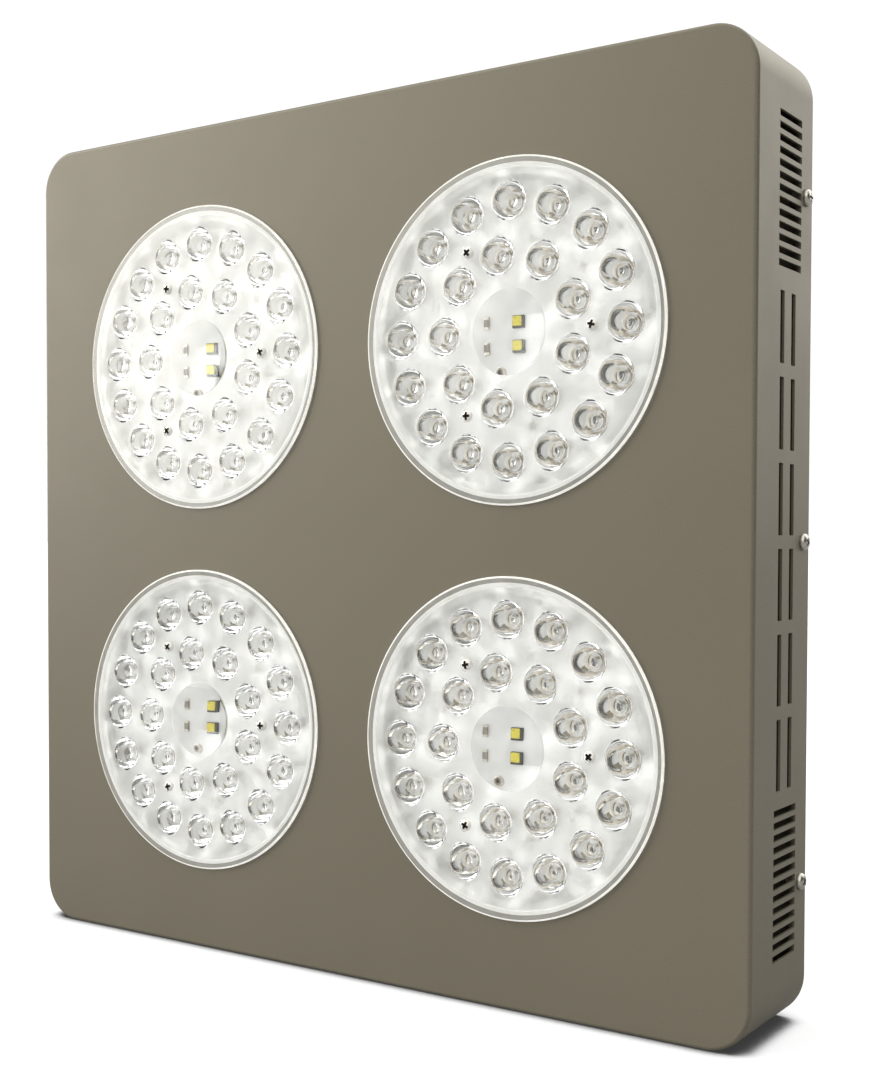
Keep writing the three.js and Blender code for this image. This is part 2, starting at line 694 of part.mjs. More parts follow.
function placeModules() {
  const lensScrew = screw({
    headR: 2.75, headH: 1.9, shankR: 1.4, length: 16, seat: RIM_FRONT + 0.7, sides: 8, slotW: 0.9,
  });
  const plate = lensPlate();
  const gasket = lensGasket();
  const rearParts = [
    ['led_board', ledBoard(), 'board'],
    ['heat_sink', heatSink(), 'aluminium'],
    ['fan_frame', fanFrame(), 'black'],
    ['fan_rotor', fanRotor(), 'rotor'],
    ['fan_guard', fanGuard(), 'chrome'],
  ];
  // Upper or lower, left or right as seen from the front.
  for (const [tag, signX, signZ] of [['ul', -1, 1], ['ur', 1, 1], ['ll', -1, -1], ['lr', 1, -1]]) {
    const x = signX * MODULE_X;
    const z = signZ * MODULE_Z;
    place(`lens_plate_${tag}`, plate.translate(x, 0, z), 'plate');
    place(`lens_gasket_${tag}`, gasket.translate(x, 0, z), 'silicone');
    SCREW_PLACES.forEach(([dx, dz], i) => {
      place(`lens_screw_${tag}_${i + 1}`, lensScrew.translate(x + dx, 0, z + dz), 'steel');
    });
    for (const [name, solid, material] of rearParts) {
      place(`${name}_${tag}`, solid.translate(x, 0, z), material);
    }
  }
}

function placeCoverScrews() {
  const coverScrew = screw({
    headR: 4, headH: 2.6, shankR: 1.9, length: 9, seat: 0, sides: 10, slotW: 1.2,
  });
  for (const [tag, side] of [['left', -1], ['right', 1]]) {
    const turned = coverScrew.rotate([0, 0, side * 90]);
    COVER_SCREW_Z.forEach((z, i) => {
      const solid = turned.translate(side * (CASE_W / 2 + 0.1), COVER_SCREW_Y, z);
      place(`cover_screw_${tag}_${i + 1}`, solid, 'steel');
    });
  }
}

place('front_housing', frontHousing(), 'case');
place('rear_cover', rearCover(), 'case');
placeModules();
placeCoverScrews();
for (const [row, z] of [['u', HANGER_TOP_Z], ['l', HANGER_LOW_Z]]) {
  place(`hanger_ring_${row}l`, hangerRing(-HANGER_X, z), 'chrome');
  place(`hanger_ring_${row}r`, hangerRing(HANGER_X, z), 'chrome');
}
place('led_driver_front', ledDriver(SHEET + GAP, true), 'aluminium');
place('led_driver_rear', ledDriver(COVER_FRONT - GAP - DRIVER.t, false), 'aluminium');
place('power_inlet', powerInlet(), 'black');
place('fuse_drawer', fuseDrawer(), 'black');
SWITCH_X.forEach((x, i) => {
  place(`switch_body_${i + 1}`, switchBody(x), 'black');
  place(`switch_rocker_${i + 1}`, rocker(x), 'red');
});

// The origin moves to the centre of the lower wall's outer face.
for (const mesh of assembly.children) mesh.geometry.translate(0, -CASE_D / 2, CASE_H / 2);

export default assembly;
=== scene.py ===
"""A wall-hung LED luminaire: a shallow square case with four round lens modules.

Each module has a lens plate in front, an LED board and heat sink behind it, and a fan in
the rear cover. X runs to the right, Y from the front panel to the back, Z up. Sizes are in
millimetres about the centre of the front panel's outer face; install() shifts each piece
to the part frame, whose origin is under the case.
"""
import math
from functools import cached_property
import bmesh
import bpy
from mathutils import Matrix, Vector
from mathutils.geometry import delaunay_2d_cdt


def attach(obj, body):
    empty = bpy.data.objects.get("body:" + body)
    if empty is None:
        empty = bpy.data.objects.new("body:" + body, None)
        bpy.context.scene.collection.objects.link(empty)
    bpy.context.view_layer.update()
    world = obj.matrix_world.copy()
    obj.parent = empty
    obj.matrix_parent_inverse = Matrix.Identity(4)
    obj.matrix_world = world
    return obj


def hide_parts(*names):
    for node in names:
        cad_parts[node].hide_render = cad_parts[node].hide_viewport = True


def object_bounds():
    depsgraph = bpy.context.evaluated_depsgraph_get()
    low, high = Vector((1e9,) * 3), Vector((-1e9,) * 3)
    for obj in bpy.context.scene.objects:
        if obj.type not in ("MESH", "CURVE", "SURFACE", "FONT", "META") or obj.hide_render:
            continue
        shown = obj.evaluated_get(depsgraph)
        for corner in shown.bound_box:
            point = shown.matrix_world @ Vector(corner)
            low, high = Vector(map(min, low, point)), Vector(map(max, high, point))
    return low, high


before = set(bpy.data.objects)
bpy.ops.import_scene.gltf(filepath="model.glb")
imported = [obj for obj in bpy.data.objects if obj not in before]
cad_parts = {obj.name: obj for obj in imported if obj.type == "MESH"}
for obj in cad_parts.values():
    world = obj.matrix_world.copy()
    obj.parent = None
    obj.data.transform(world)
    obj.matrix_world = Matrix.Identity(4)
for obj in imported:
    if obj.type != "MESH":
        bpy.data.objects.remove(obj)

CAD_BOX = [list(v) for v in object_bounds()]
ROOT = "luminaire"
MM = 0.001
TAU = 2 * math.pi

# ------------------------------------------------------------- shared dimensions, mm
WIDTH, HEIGHT, DEPTH = 446.0, 451.0, 66.0
CORNER_R = 22.0
SHEET = 1.2            # sheet thickness
COVER_GAP = 0.3        # between the case wall and the rear cover
MODULE_X, MODULE_Z = 99.0, 99.3
LENS_FRONT = -1.8      # y of the lens plate's two faces
LENS_BACK = 0.7
BOARD_Y = 10.7         # front face of the LED board
CLEARANCE_R = 2.3      # screw holes in sheet metal
SIDE_HOLE_Y, SIDE_HOLES_Z = 58, (158, 0, -158)
FAN_HOLE = 41.25       # fan screws from the module centre, in x and in z

SIGNS = [(sx, sz) for sx in (-1, 1) for sz in (-1, 1)]
QUADRANTS = {"ul": (-1, 1), "ur": (1, 1), "ll": (-1, -1), "lr": (1, -1)}
MODULES = [(tag, (sx * MODULE_X, 0.0, sz * MODULE_Z)) for tag, (sx, sz) in QUADRANTS.items()]

# Places on a lens plate and its board: radius, angle in degrees
SMALL_LENSES = [(61.8, i * 22.5) for i in range(16)] + [(36.7, 20 + i * 40.0) for i in range(9)]
PLATE_SCREWS = [(45.2, angle) for angle in (0.0, 120.0, 240.0)]

OFFSET = Matrix.Translation((0.0, -DEPTH / 2 * MM, HEIGHT / 2 * MM))


# ------------------------------------------------------------- objects
def mesh_object(name, part, materials=(), sharp=30.0, smooth=True, weighted=False):
    """Object from a part: (vertices in mm, faces, material slot of each face)."""
    vertices, faces, slots = part
    mesh = bpy.data.meshes.new(name)
    mesh.from_pydata([(v[0] * MM, v[1] * MM, v[2] * MM) for v in vertices], [], faces)
    mesh.validate()
    mesh.update()
    for material in materials:
        mesh.materials.append(material)
    # validate() may drop faces, and the slots would then no longer line up
    if len(materials) > 1 and len(slots) == len(mesh.polygons):
        mesh.polygons.foreach_set("material_index", slots)
    ob = bpy.data.objects.new(name, mesh)
    bpy.context.scene.collection.objects.link(ob)
    if smooth:
        shade(ob, sharp, weighted)
    return ob


def shade(ob, sharp=30.0, weighted=False):
    """Smooth shading, broken at edges sharper than an angle in degrees."""
    mesh = ob.data
    mesh.polygons.foreach_set("use_smooth", [True] * len(mesh.polygons))
    mesh.set_sharp_from_angle(angle=math.radians(sharp))
    mesh.update()
    if weighted:
        modifier = ob.modifiers.new("weighted", "WEIGHTED_NORMAL")
        modifier.keep_sharp = True
        modifier.weight = 60


def bevel_edges(ob, width, segments=2):
    bevel = ob.modifiers.new("edges", "BEVEL")
    bevel.width = width * MM
    bevel.segments = segments
    bevel.limit_method = "ANGLE"
    bevel.angle_limit = math.radians(50)


def cut(ob, parts):
    """Subtracts the parts from the object's mesh."""
    cutter = mesh_object("cutter", merged(parts), smooth=False)
    modifier = ob.modifiers.new("cut", "BOOLEAN")
    modifier.object = cutter
    modifier.operation = "DIFFERENCE"
    modifier.solver = "EXACT"
    bpy.context.view_layer.update()
    graph = bpy.context.evaluated_depsgraph_get()
    mesh = bpy.data.meshes.new_from_object(ob.evaluated_get(graph))
    ob.modifiers.clear()
    ob.data = mesh
    bpy.data.objects.remove(cutter)


def set_materials(ob, *materials):
    ob.data.materials.clear()
    for material in materials:
        ob.data.materials.append(material)


def copies(ob, name, places):
    """Linked copies at (tag, place) pairs; ob itself is the first. Returns (tag, object)."""
    out = []
    for i, (tag, place) in enumerate(places):
        if i == 0:
            item = ob
        else:
            item = ob.copy()
            bpy.context.scene.collection.objects.link(item)
        item.name = f"{name}_{tag}"
        item.location = Vector(place) * MM
        out.append((tag, item))
    return out


def install(ob, replaces=None, body=ROOT):
    """Shifts an object to the part frame and registers it."""
    bpy.context.view_layer.update()
    ob.matrix_world = OFFSET @ ob.matrix_world
    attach(ob, body)
    if replaces:
        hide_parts(replaces)


def install_copies(ob, name, places, replaces=None, body=None):
    """Installs a copy at each place; replaces and body are prefixes to the tag."""
    for tag, item in copies(ob, name, places):
        install(item, f"{replaces}_{tag}" if replaces else None,
                f"{body}_{tag}" if body else ROOT)


def tag_angle(tag, step):
    """A turn below 90 degrees, in radians, that varies with the tag."""
    return math.radians(sum(ord(letter) for letter in tag) * step % 90)


# ------------------------------------------------------------- outlines
def polar(radius, degrees):
    return radius * math.cos(math.radians(degrees)), radius * math.sin(math.radians(degrees))


def circle(r, n, cx=0.0, cz=0.0):
    return [(cx + r * math.cos(TAU * i / n), cz + r * math.sin(TAU * i / n)) for i in range(n)]


def rounded(width, height, r, n, cx=0.0, cz=0.0):
    """Rectangle with each corner rounded in n steps."""
    out = []
    for sx, sz, start in ((1, 1, 0), (-1, 1, 90), (-1, -1, 180), (1, -1, 270)):
        for i in range(n + 1):
            t = math.radians(start + 90 * i / n)
            out.append((cx + sx * (width / 2 - r) + r * math.cos(t),
                        cz + sz * (height / 2 - r) + r * math.sin(t)))
    return out


def case_outline(inset):
    return rounded(WIDTH - 2 * inset, HEIGHT - 2 * inset, CORNER_R - inset, 16)


def at_y(points, y):
    return [(p[0], y, p[1]) for p in points]


# ------------------------------------------------------------- parts
def outward(vertices, faces):
    """Turns all faces over if they enclose a negative volume."""
    volume = 0.0
    for face in faces:
        a = Vector(vertices[face[0]])
        for i in range(1, len(face) - 1):
            volume += a.dot(Vector(vertices[face[i]]).cross(Vector(vertices[face[i + 1]])))
    if volume < 0:
        faces = [tuple(reversed(face)) for face in faces]
    return faces


def loft(loops, closed=False):
    """Skin through loops with equal point counts, capped at the ends or closed on itself."""
    n = len(loops[0])
    vertices = [tuple(p) for loop in loops for p in loop]
    faces = []
    for k in range(len(loops) if closed else len(loops) - 1):
        a, b = k * n, ((k + 1) % len(loops)) * n
        for i in range(n):
            j = (i + 1) % n
            faces.append((a + i, b + i, b + j, a + j))
    if not closed:
        last = (len(loops) - 1) * n
        faces.append(tuple(range(n)))
        faces.append(tuple(last + i for i in reversed(range(n))))
    return vertices, outward(vertices, faces), [0] * len(faces)


def lathe(profile, n, bands=None):
    """Body about Y from (r, y) points, axis to axis; bands is the slot of each step."""
    vertices, rings = [], []
    for r, y in profile:
        start = len(vertices)
        if r < 1e-6:
            rings.append([start])
            vertices.append((0.0, y, 0.0))
        else:
            rings.append(list(range(start, start + n)))
            vertices += at_y(circle(r, n), y)
    faces, slots = [], []
    for k, (a, b) in enumerate(zip(rings, rings[1:])):
        for i in range(n):
            j = (i + 1) % n
            if len(a) == 1:
                faces.append((a[0], b[i], b[j]))
            elif len(b) == 1:
                faces.append((a[i], b[0], a[j]))
            else:
                faces.append((a[i], b[i], b[j], a[j]))
            slots.append(bands[k] if bands else 0)
    return vertices, outward(vertices, faces), slots


def tube(profile, n):
    """Ring body about Y from a closed profile (r, y), first point not repeated."""
    return loft([at_y(circle(r, n), y) for r, y in profile], closed=True)


def prism(points, y0, y1):
    return loft([at_y(points, y0), at_y(points, y1)])


def prism_x(points, x0, x1):
    """Prism along X; points are (y, z)."""
    return loft([[(x, p[0], p[1]) for p in points] for x in (x0, x1)])


def prism_z(points, z0, z1):
    """Prism along Z; points are (x, y)."""
    return loft([[(p[0], p[1], z) for p in points] for z in (z0, z1)])


def box(x0, x1, y0, y1, z0, z1):
    return prism([(x0, z0), (x1, z0), (x1, z1), (x0, z1)], y0, y1)


def sweep(path, radius, sides, closed=False):
    """Round wire along 3-D points."""
    points = [Vector(p) for p in path]
    n = len(points)
    loops = []
    side = None
    for i in range(n):
        before = points[i - 1] if (closed or i) else points[i]
        after = points[(i + 1) % n] if (closed or i < n - 1) else points[i]
        along = (after - before).normalized()
        if side is None:
            side = Vector((0, 1, 0)) if abs(along.y) < 0.9 else Vector((1, 0, 0))
        side = (side - along * side.dot(along)).normalized()
        across = along.cross(side)
        turns = [TAU * k / sides for k in range(sides)]
        loops.append([tuple(points[i] + (side * math.cos(t) + across * math.sin(t)) * radius)
                      for t in turns])
    return loft(loops, closed=closed)


def merged(parts):
    vertices, faces, slots = [], [], []
    for part_vertices, part_faces, part_slots in parts:
        start = len(vertices)
        vertices += part_vertices
        faces += [tuple(i + start for i in face) for face in part_faces]
        slots += part_slots
    return vertices, faces, slots


def moved(part, dx, dz):
    return [(x + dx, y, z + dz) for x, y, z in part[0]], part[1], part[2]


def mapped(part, change):
    """The part with change() applied to each vertex."""
    vertices = [change(p) for p in part[0]]
    return vertices, outward(vertices, part[1]), part[2]


def slotted(part, slot):
    """The part with all its faces in one material slot."""
    return part[0], part[1], [slot] * len(part[1])


# ------------------------------------------------------------- shader nodes
def add_node(tree, kind, inputs=None, **settings):
    """New node; each input is a value, or a socket to link from."""
    node = tree.nodes.new(kind)
    for name, value in settings.items():
        setattr(node, name, value)
    for key, value in (inputs or {}).items():
        if isinstance(value, bpy.types.NodeSocket):
            tree.links.new(value, node.inputs[key])
        else:
            node.inputs[key].default_value = value
    return node


class Material:
    def __init__(self, name):
        self.material = bpy.data.materials.new(name)
        self.material.use_nodes = True
        self.tree = self.material.node_tree
        self.shader = self.tree.nodes["Principled BSDF"]

    @cached_property
    def coordinates(self):
        return self.add("ShaderNodeTexCoord").outputs["Object"]

    def add(self, kind, inputs=None, **settings):
        return add_node(self.tree, kind, inputs, **settings)

    def feed(self, name, socket):
        """Links a socket to an input of the principled shader."""
        self.tree.links.new(socket, self.shader.inputs[name])

    def set(self, **values):
        """Sets inputs of the principled shader, with underscores for spaces."""
        for name, value in values.items():
            self.shader.inputs[name.replace("_", " ")].default_value = value

    def surface(self, shader):
        """Makes another shader the material's surface."""
        output = self.tree.nodes["Material Output"]
        self.tree.links.new(shader.outputs[0], output.inputs["Surface"])

    def noise(self, scale, detail=3.0, roughness=0.5, stretch=None):
        vector = self.coordinates
        if stretch:
            mapping = self.add("ShaderNodeMapping", {"Scale": stretch, "Vector": vector})
            vector = mapping.outputs["Vector"]
        return self.add("ShaderNodeTexNoise", {
            "Scale": scale, "Detail": detail, "Roughness": roughness, "Vector": vector,
        }).outputs["Fac"]

    def ramp(self, factor, stops):
        """Colour ramp; stops are (position, grey level or RGB)."""
        node = self.add("ShaderNodeValToRGB", {"Fac": factor})
        while len(node.color_ramp.elements) < len(stops):
            node.color_ramp.elements.new(0.5)
        for element, (position, colour) in zip(node.color_ramp.elements, stops):
            rgb = colour if isinstance(colour, tuple) else (colour,) * 3
            element.position = position
            element.color = (*rgb, 1)
        return node.outputs["Color"]

    def bump(self, height, strength, distance):
        """Adds a bump on top of any there already."""
        node = self.add("ShaderNodeBump",
                        {"Strength": strength, "Distance": distance, "Height": height})
        normal = self.shader.inputs["Normal"]
        if normal.is_linked:
            self.tree.links.new(normal.links[0].from_socket, node.inputs["Normal"])
        self.feed("Normal", node.outputs["Normal"])


def finish(name, dark, light, rough, patch, metal=0.0, grain=900.0, bump=0.12,
           bump_depth=0.00004, stretch=None, coat=0.0):
    """Two close colours in soft patches, with a grain bump and uneven roughness.

    patch and grain are noise scales; stretch scales the coordinates of the roughness
    and the grain.
    """
    mat = Material(name)
    mat.set(Metallic=metal)
    if coat:
        mat.set(Coat_Weight=coat, Coat_Roughness=0.08)
    colour = mat.ramp(mat.noise(scale=patch, detail=4.0), [(0.3, dark), (0.7, light)])
    mat.feed("Base Color", colour)
    uneven = mat.noise(scale=patch * 4.3, detail=5.0, roughness=0.6, stretch=stretch)
    mat.feed("Roughness", mat.ramp(uneven, [(0.25, rough[0]), (0.75, rough[1])]))
    mat.bump(mat.noise(scale=grain, detail=2.0, stretch=stretch),
             strength=bump, distance=bump_depth)
    return mat.material


def powder_coat():
    """Dark warm paint with fine flecks, a fine grain and a coarser orange-peel bump."""
    mat = Material("powder_coat")
    mat.set(Specular_Tint=(1.0, 0.96, 0.86, 1))
    base = mat.ramp(mat.noise(scale=5.0),
                    [(0.25, (0.132, 0.120, 0.094)), (0.75, (0.144, 0.131, 0.103))])
    fleck = mat.ramp(mat.noise(scale=2600.0, detail=1.0, roughness=0.4),
                     [(0.36, 0.86), (0.5, 1.0), (0.66, 1.12)])
    mix = mat.add("ShaderNodeMix", {"Factor": 1.0, "A": base, "B": fleck},
                  data_type="RGBA", blend_type="MULTIPLY")
    mat.feed("Base Color", mix.outputs["Result"])
    mat.feed("Roughness", mat.ramp(mat.noise(scale=22.0, detail=5.0, roughness=0.6),
                                   [(0.3, 0.37), (0.7, 0.43)]))
    mat.bump(mat.noise(scale=1500.0, detail=2.0), strength=0.22, distance=0.00005)
    mat.bump(mat.noise(scale=260.0, detail=2.0), strength=0.10, distance=0.00012)
    return mat.material


def acrylic(name, rough, haze=0.0, glow=0.0, uneven=0.06):
    """Clear plastic; haze mixes in white scatter, glow adds emission that is painted light,
    uneven varies both in patches.
    """
    mat = Material(name)
    mat.set(Transmission_Weight=1.0, IOR=1.49, Base_Color=(0.975, 0.98, 0.975, 1))
    mat.feed("Roughness", mat.ramp(mat.noise(scale=160.0), [(0.3, rough[0]), (0.75, rough[1])]))
    mat.bump(mat.noise(scale=90.0, detail=2.0), strength=0.05, distance=0.0002)
    if not haze:
        return mat.material
    diffuse = mat.add("ShaderNodeBsdfDiffuse", {"Color": (0.93, 0.93, 0.90, 1)})
    translucent = mat.add("ShaderNodeBsdfTranslucent", {"Color": (0.86, 0.86, 0.83, 1)})
    white = mat.add("ShaderNodeMixShader",
                    {1: diffuse.outputs[0], 2: translucent.outputs[0]})
    # Painted light: patchy emission that brightens the plastic
    if glow:
        strength = mat.ramp(mat.noise(scale=75.0, detail=1.0, roughness=0.4),
                            [(0.40, glow * (1 - uneven)), (0.64, glow * (1 + 1.4 * uneven))])
        emission = mat.add("ShaderNodeEmission",
                           {"Color": (1, 1, 0.985, 1), "Strength": strength})
        white = mat.add("ShaderNodeAddShader", {0: white.outputs[0], 1: emission.outputs[0]})
    amount = mat.ramp(mat.noise(scale=95.0, detail=2.0),
                      [(0.36, haze * (1 - uneven)), (0.66, haze * (1 + 1.3 * uneven))])
    mat.surface(mat.add("ShaderNodeMixShader", {
        "Fac": amount, 1: mat.shader.outputs[0], 2: white.outputs[0]}))
    return mat.material


def solder_mask():
    """White board lacquer with a faint patchy glow, which is painted light."""
    mat = Material("white_solder_mask_painted_glow")
    mat.set(Emission_Color=(1.0, 1.0, 0.98, 1))
    mat.feed("Base Color", mat.ramp(mat.noise(scale=60.0, detail=4.0),
                                    [(0.3, (0.64, 0.64, 0.625)), (0.7, (0.72, 0.72, 0.705))]))
    mat.feed("Roughness", mat.ramp(mat.noise(scale=240.0, detail=4.0),
                                   [(0.25, 0.30), (0.75, 0.45)]))
    # Painted light: faint patchy emission that brightens the board
    mat.feed("Emission Strength", mat.ramp(mat.noise(scale=90.0, detail=1.0, roughness=0.35),
                                           [(0.40, 0.02), (0.64, 0.14)]))
    mat.bump(mat.noise(scale=1400.0, detail=2.0), strength=0.08, distance=0.00004)
    return mat.material


# ------------------------------------------------------------- materials
CASE_PAINT = powder_coat()
CLEAR = acrylic("clear_acrylic", rough=(0.0, 0.025))
# Frosted sheet with painted light: a patchy glow that brightens it in blotches
FROSTED = acrylic("frosted_acrylic_painted_glow", rough=(0.38, 0.50), haze=0.29, glow=0.50, uneven=0.50)
RIM = acrylic("rim_acrylic", rough=(0.05, 0.15), haze=0.42)
# Plate edges: heavy white scatter plus a glow that paints bright highlight lines
EDGE = acrylic("acrylic_edge_painted_glow", rough=(0.10, 0.20), haze=0.80, glow=0.40)
EMITTER_SILICONE = acrylic("emitter_silicone", rough=(0.0, 0.03))
SOLDER_MASK_PAINTED_GLOW = solder_mask()
EMITTER_BODY = finish("emitter_body", dark=(0.74, 0.66, 0.54), light=(0.84, 0.77, 0.65),
                      rough=(0.25, 0.4), grain=1400, bump=0.08, patch=200)
LED_DIE = finish("led_die", dark=(0.010, 0.008, 0.004), light=(0.035, 0.026, 0.012),
                 rough=(0.12, 0.2), patch=900, coat=1.0)
LED_CONTACT = finish("led_contact", dark=(0.14, 0.11, 0.05), light=(0.24, 0.19, 0.09),
                     rough=(0.2, 0.3), patch=800, coat=1.0)
LED_DOME = finish("led_dome", dark=(0.40, 0.37, 0.31), light=(0.54, 0.50, 0.42),
                  rough=(0.08, 0.14), patch=500, coat=1.0)
YELLOW_PHOSPHOR = finish("yellow_phosphor", dark=(0.60, 0.46, 0.015), light=(0.82, 0.74, 0.06),
                         rough=(0.4, 0.6), grain=2600, bump=0.5, bump_depth=0.0001, patch=900)
DARK_PACKAGE = finish("dark_package", dark=(0.010, 0.010, 0.006), light=(0.030, 0.028, 0.014),
                      rough=(0.4, 0.6), patch=400)
SMALL_PACKAGE = finish("small_package", dark=(0.22, 0.19, 0.15), light=(0.32, 0.28, 0.23),
                       rough=(0.35, 0.5), patch=500)
TINNED = finish("tinned_metal", dark=(0.55, 0.52, 0.46), light=(0.66, 0.62, 0.56),
                rough=(0.22, 0.4), metal=1.0, patch=300)
PLATED_STEEL = finish("plated_screw", dark=(0.42, 0.41, 0.39), light=(0.54, 0.53, 0.50),
                      rough=(0.2, 0.34), metal=1.0, grain=2200, patch=500)
# Painted shade: near-black colour for the inside of the cross recesses
RECESS_PAINTED_SHADE = finish("recess_painted_shade", dark=(0.006, 0.006, 0.005), light=(0.014, 0.013, 0.011),
                      rough=(0.5, 0.7), grain=2200, patch=500)
# Plate screw heads: near-white and barely metallic, a painted reflection of bright surroundings
STEEL_PAINTED_REFLECTION = finish("bright_screw", dark=(0.80, 0.79, 0.76), light=(0.88, 0.87, 0.84),
                      rough=(0.28, 0.42), metal=0.25, grain=2200, patch=500)
ALUMINIUM = finish("heat_sink_aluminium", dark=(0.52, 0.53, 0.54), light=(0.62, 0.63, 0.64),
                   rough=(0.34, 0.5), metal=1.0, grain=700, bump=0.1, patch=40,
                   stretch=(1, 1, 12))
DRIVER_CASE = finish("driver_case", dark=(0.30, 0.31, 0.32), light=(0.38, 0.39, 0.40),
                     rough=(0.35, 0.5), metal=0.9, patch=30)
WHITE_SILICONE = finish("white_silicone", dark=(0.46, 0.46, 0.44), light=(0.54, 0.54, 0.52),
                        rough=(0.5, 0.65), patch=60)
BLACK_PLASTIC = finish("black_moulding", dark=(0.012, 0.012, 0.013), light=(0.02, 0.02, 0.021),
                       rough=(0.42, 0.58), grain=2200, bump=0.25, patch=50)
ROTOR_PLASTIC = finish("rotor_moulding", dark=(0.014, 0.014, 0.015),
                       light=(0.022, 0.022, 0.023), rough=(0.3, 0.42), grain=1800,
                       bump=0.12, patch=60)
LABEL = finish("blank_label", dark=(0.55, 0.56, 0.57), light=(0.62, 0.63, 0.64),
               rough=(0.3, 0.4), metal=0.6, patch=80)
BRIGHT_WIRE = finish("bright_wire", dark=(0.66, 0.67, 0.68), light=(0.76, 0.77, 0.78),
                     rough=(0.12, 0.26), metal=1.0, grain=1200, bump=0.06, patch=120)
RED_ROCKER = finish("red_rocker", dark=(0.42, 0.012, 0.010), light=(0.50, 0.018, 0.014),
                    rough=(0.16, 0.24), grain=1500, bump=0.05, patch=80, coat=0.3)


# ------------------------------------------------------------- front housing
BEND_R = 2.0           # outer radius round the front edge
OPENING_R = 78.6
# Rows of side slots: 13 short ones running front to back, from each top z
VENT_TOPS, VENT_COUNT, VENT_PITCH = (190.0, -122.0), 13, 5.48
VENT_Y, VENT_LENGTH, VENT_WIDTH = 38.7, 27.0, 3.2
# Two columns of upright slots midway up the sides
UPRIGHT_YS, UPRIGHT_COUNT, UPRIGHT_PITCH = (30.0, 43.5), 6, 38.4
UPRIGHT_WIDTH, UPRIGHT_LENGTH = 5.0, 32.4
# Rectangular openings in the top wall: centre x, half width, half depth
TOP_OPENINGS = [(128, 22.8, 11.8), (60, 9.8, 6.8), (86, 9.8, 6.8)]
TOP_OPENING_Y = 33


def housing_body():
    """Open-backed pan, lofted up the outside, over the rim and down the inside."""
    loops = []
    steps = 7
    for i in range(steps + 1):
        t = math.radians(90 * i / steps)
        loops.append(at_y(case_outline(BEND_R * (1 - math.sin(t))), BEND_R * (1 - math.cos(t))))
    # Rear rim: inset, distance in front of the rear edge
    for inset, ahead in ((0, 0.35), (0.12, 0.08), (0.35, 0), (SHEET - 0.3, 0), (SHEET, 0.3)):
        loops.append(at_y(case_outline(inset), DEPTH - ahead))
    inner_r = BEND_R - SHEET
    for i in range(3):
        t = math.radians(90 - 45 * i)
        loops.append(at_y(case_outline(SHEET + inner_r * (1 - math.sin(t))),
                          SHEET + inner_r * (1 - math.cos(t))))
    return loft(loops)


def side_cuts(side):
    x0 = WIDTH / 2 - 2.5 if side > 0 else -WIDTH / 2 - 1
    x1 = x0 + 3.5
    outlines = [rounded(VENT_LENGTH, VENT_WIDTH, 0.3, 2, VENT_Y, top - i * VENT_PITCH)
                for top in VENT_TOPS for i in range(VENT_COUNT)]
    outlines += [rounded(UPRIGHT_WIDTH, UPRIGHT_LENGTH, 0.4, 2, y, (i - 2.5) * UPRIGHT_PITCH)
                 for y in UPRIGHT_YS for i in range(UPRIGHT_COUNT)]
    outlines += [circle(CLEARANCE_R, 20, SIDE_HOLE_Y, z) for z in SIDE_HOLES_Z]
    return [prism_x(outline, x0, x1) for outline in outlines]


def housing_shell():
    ob = mesh_object("housing_shell", housing_body(), smooth=False)
    cuts = [prism(circle(OPENING_R, 96, sx * MODULE_X, sz * MODULE_Z), -1, SHEET + 0.5)
            for sx, sz in SIGNS]
    cuts += side_cuts(-1) + side_cuts(1)
    top = HEIGHT / 2
    for x, half_x, half_y in TOP_OPENINGS:
        corners = [(x + sx * half_x, TOP_OPENING_Y + sy * half_y)
                   for sx, sy in ((-1, -1), (1, -1), (1, 1), (-1, 1))]
        cuts.append(prism_z(corners, top - 2.5, top + 1))
    cut(ob, cuts)
    set_materials(ob, CASE_PAINT)
    shade(ob, 28, weighted=True)
    return ob


install(housing_shell(), "front_housing")


# ------------------------------------------------------------- rear cover
FAN_OPENING_R = 43.5
COVER_INSET = SHEET + COVER_GAP
FLANGE_FRONT, FLANGE_BACK, FLANGE_HALF = 53.0, 64.7, 192.0
# Round boss inside each flange hole: distance inwards from the flange, radius
BOSS = [(0.05, 4.0), (2.6, 4.0), (3.0, 3.6), (3.0, 2.4), (0.05, 2.4)]


def rear_plate():
    front = DEPTH - SHEET
    # Extra inset, y
    edge = [(0.2, front), (0, front + 0.2), (0, DEPTH - 0.3), (0.1, DEPTH - 0.1), (0.35, DEPTH)]
    body = loft([at_y(case_outline(COVER_INSET + inset), y) for inset, y in edge])
    ob = mesh_object("rear_plate", body, smooth=False)
    cuts = []
    for sx, sz in SIGNS:
        x, z = sx * MODULE_X, sz * MODULE_Z
        holes = [circle(FAN_OPENING_R, 96, x, z)]
        holes += [circle(CLEARANCE_R, 20, x + ax * FAN_HOLE, z + az * FAN_HOLE)
                  for ax, az in SIGNS]
        cuts += [prism(hole, front - 1, DEPTH + 1) for hole in holes]
    cut(ob, cuts)
    set_materials(ob, CASE_PAINT)
    shade(ob, 28, weighted=True)
    return ob


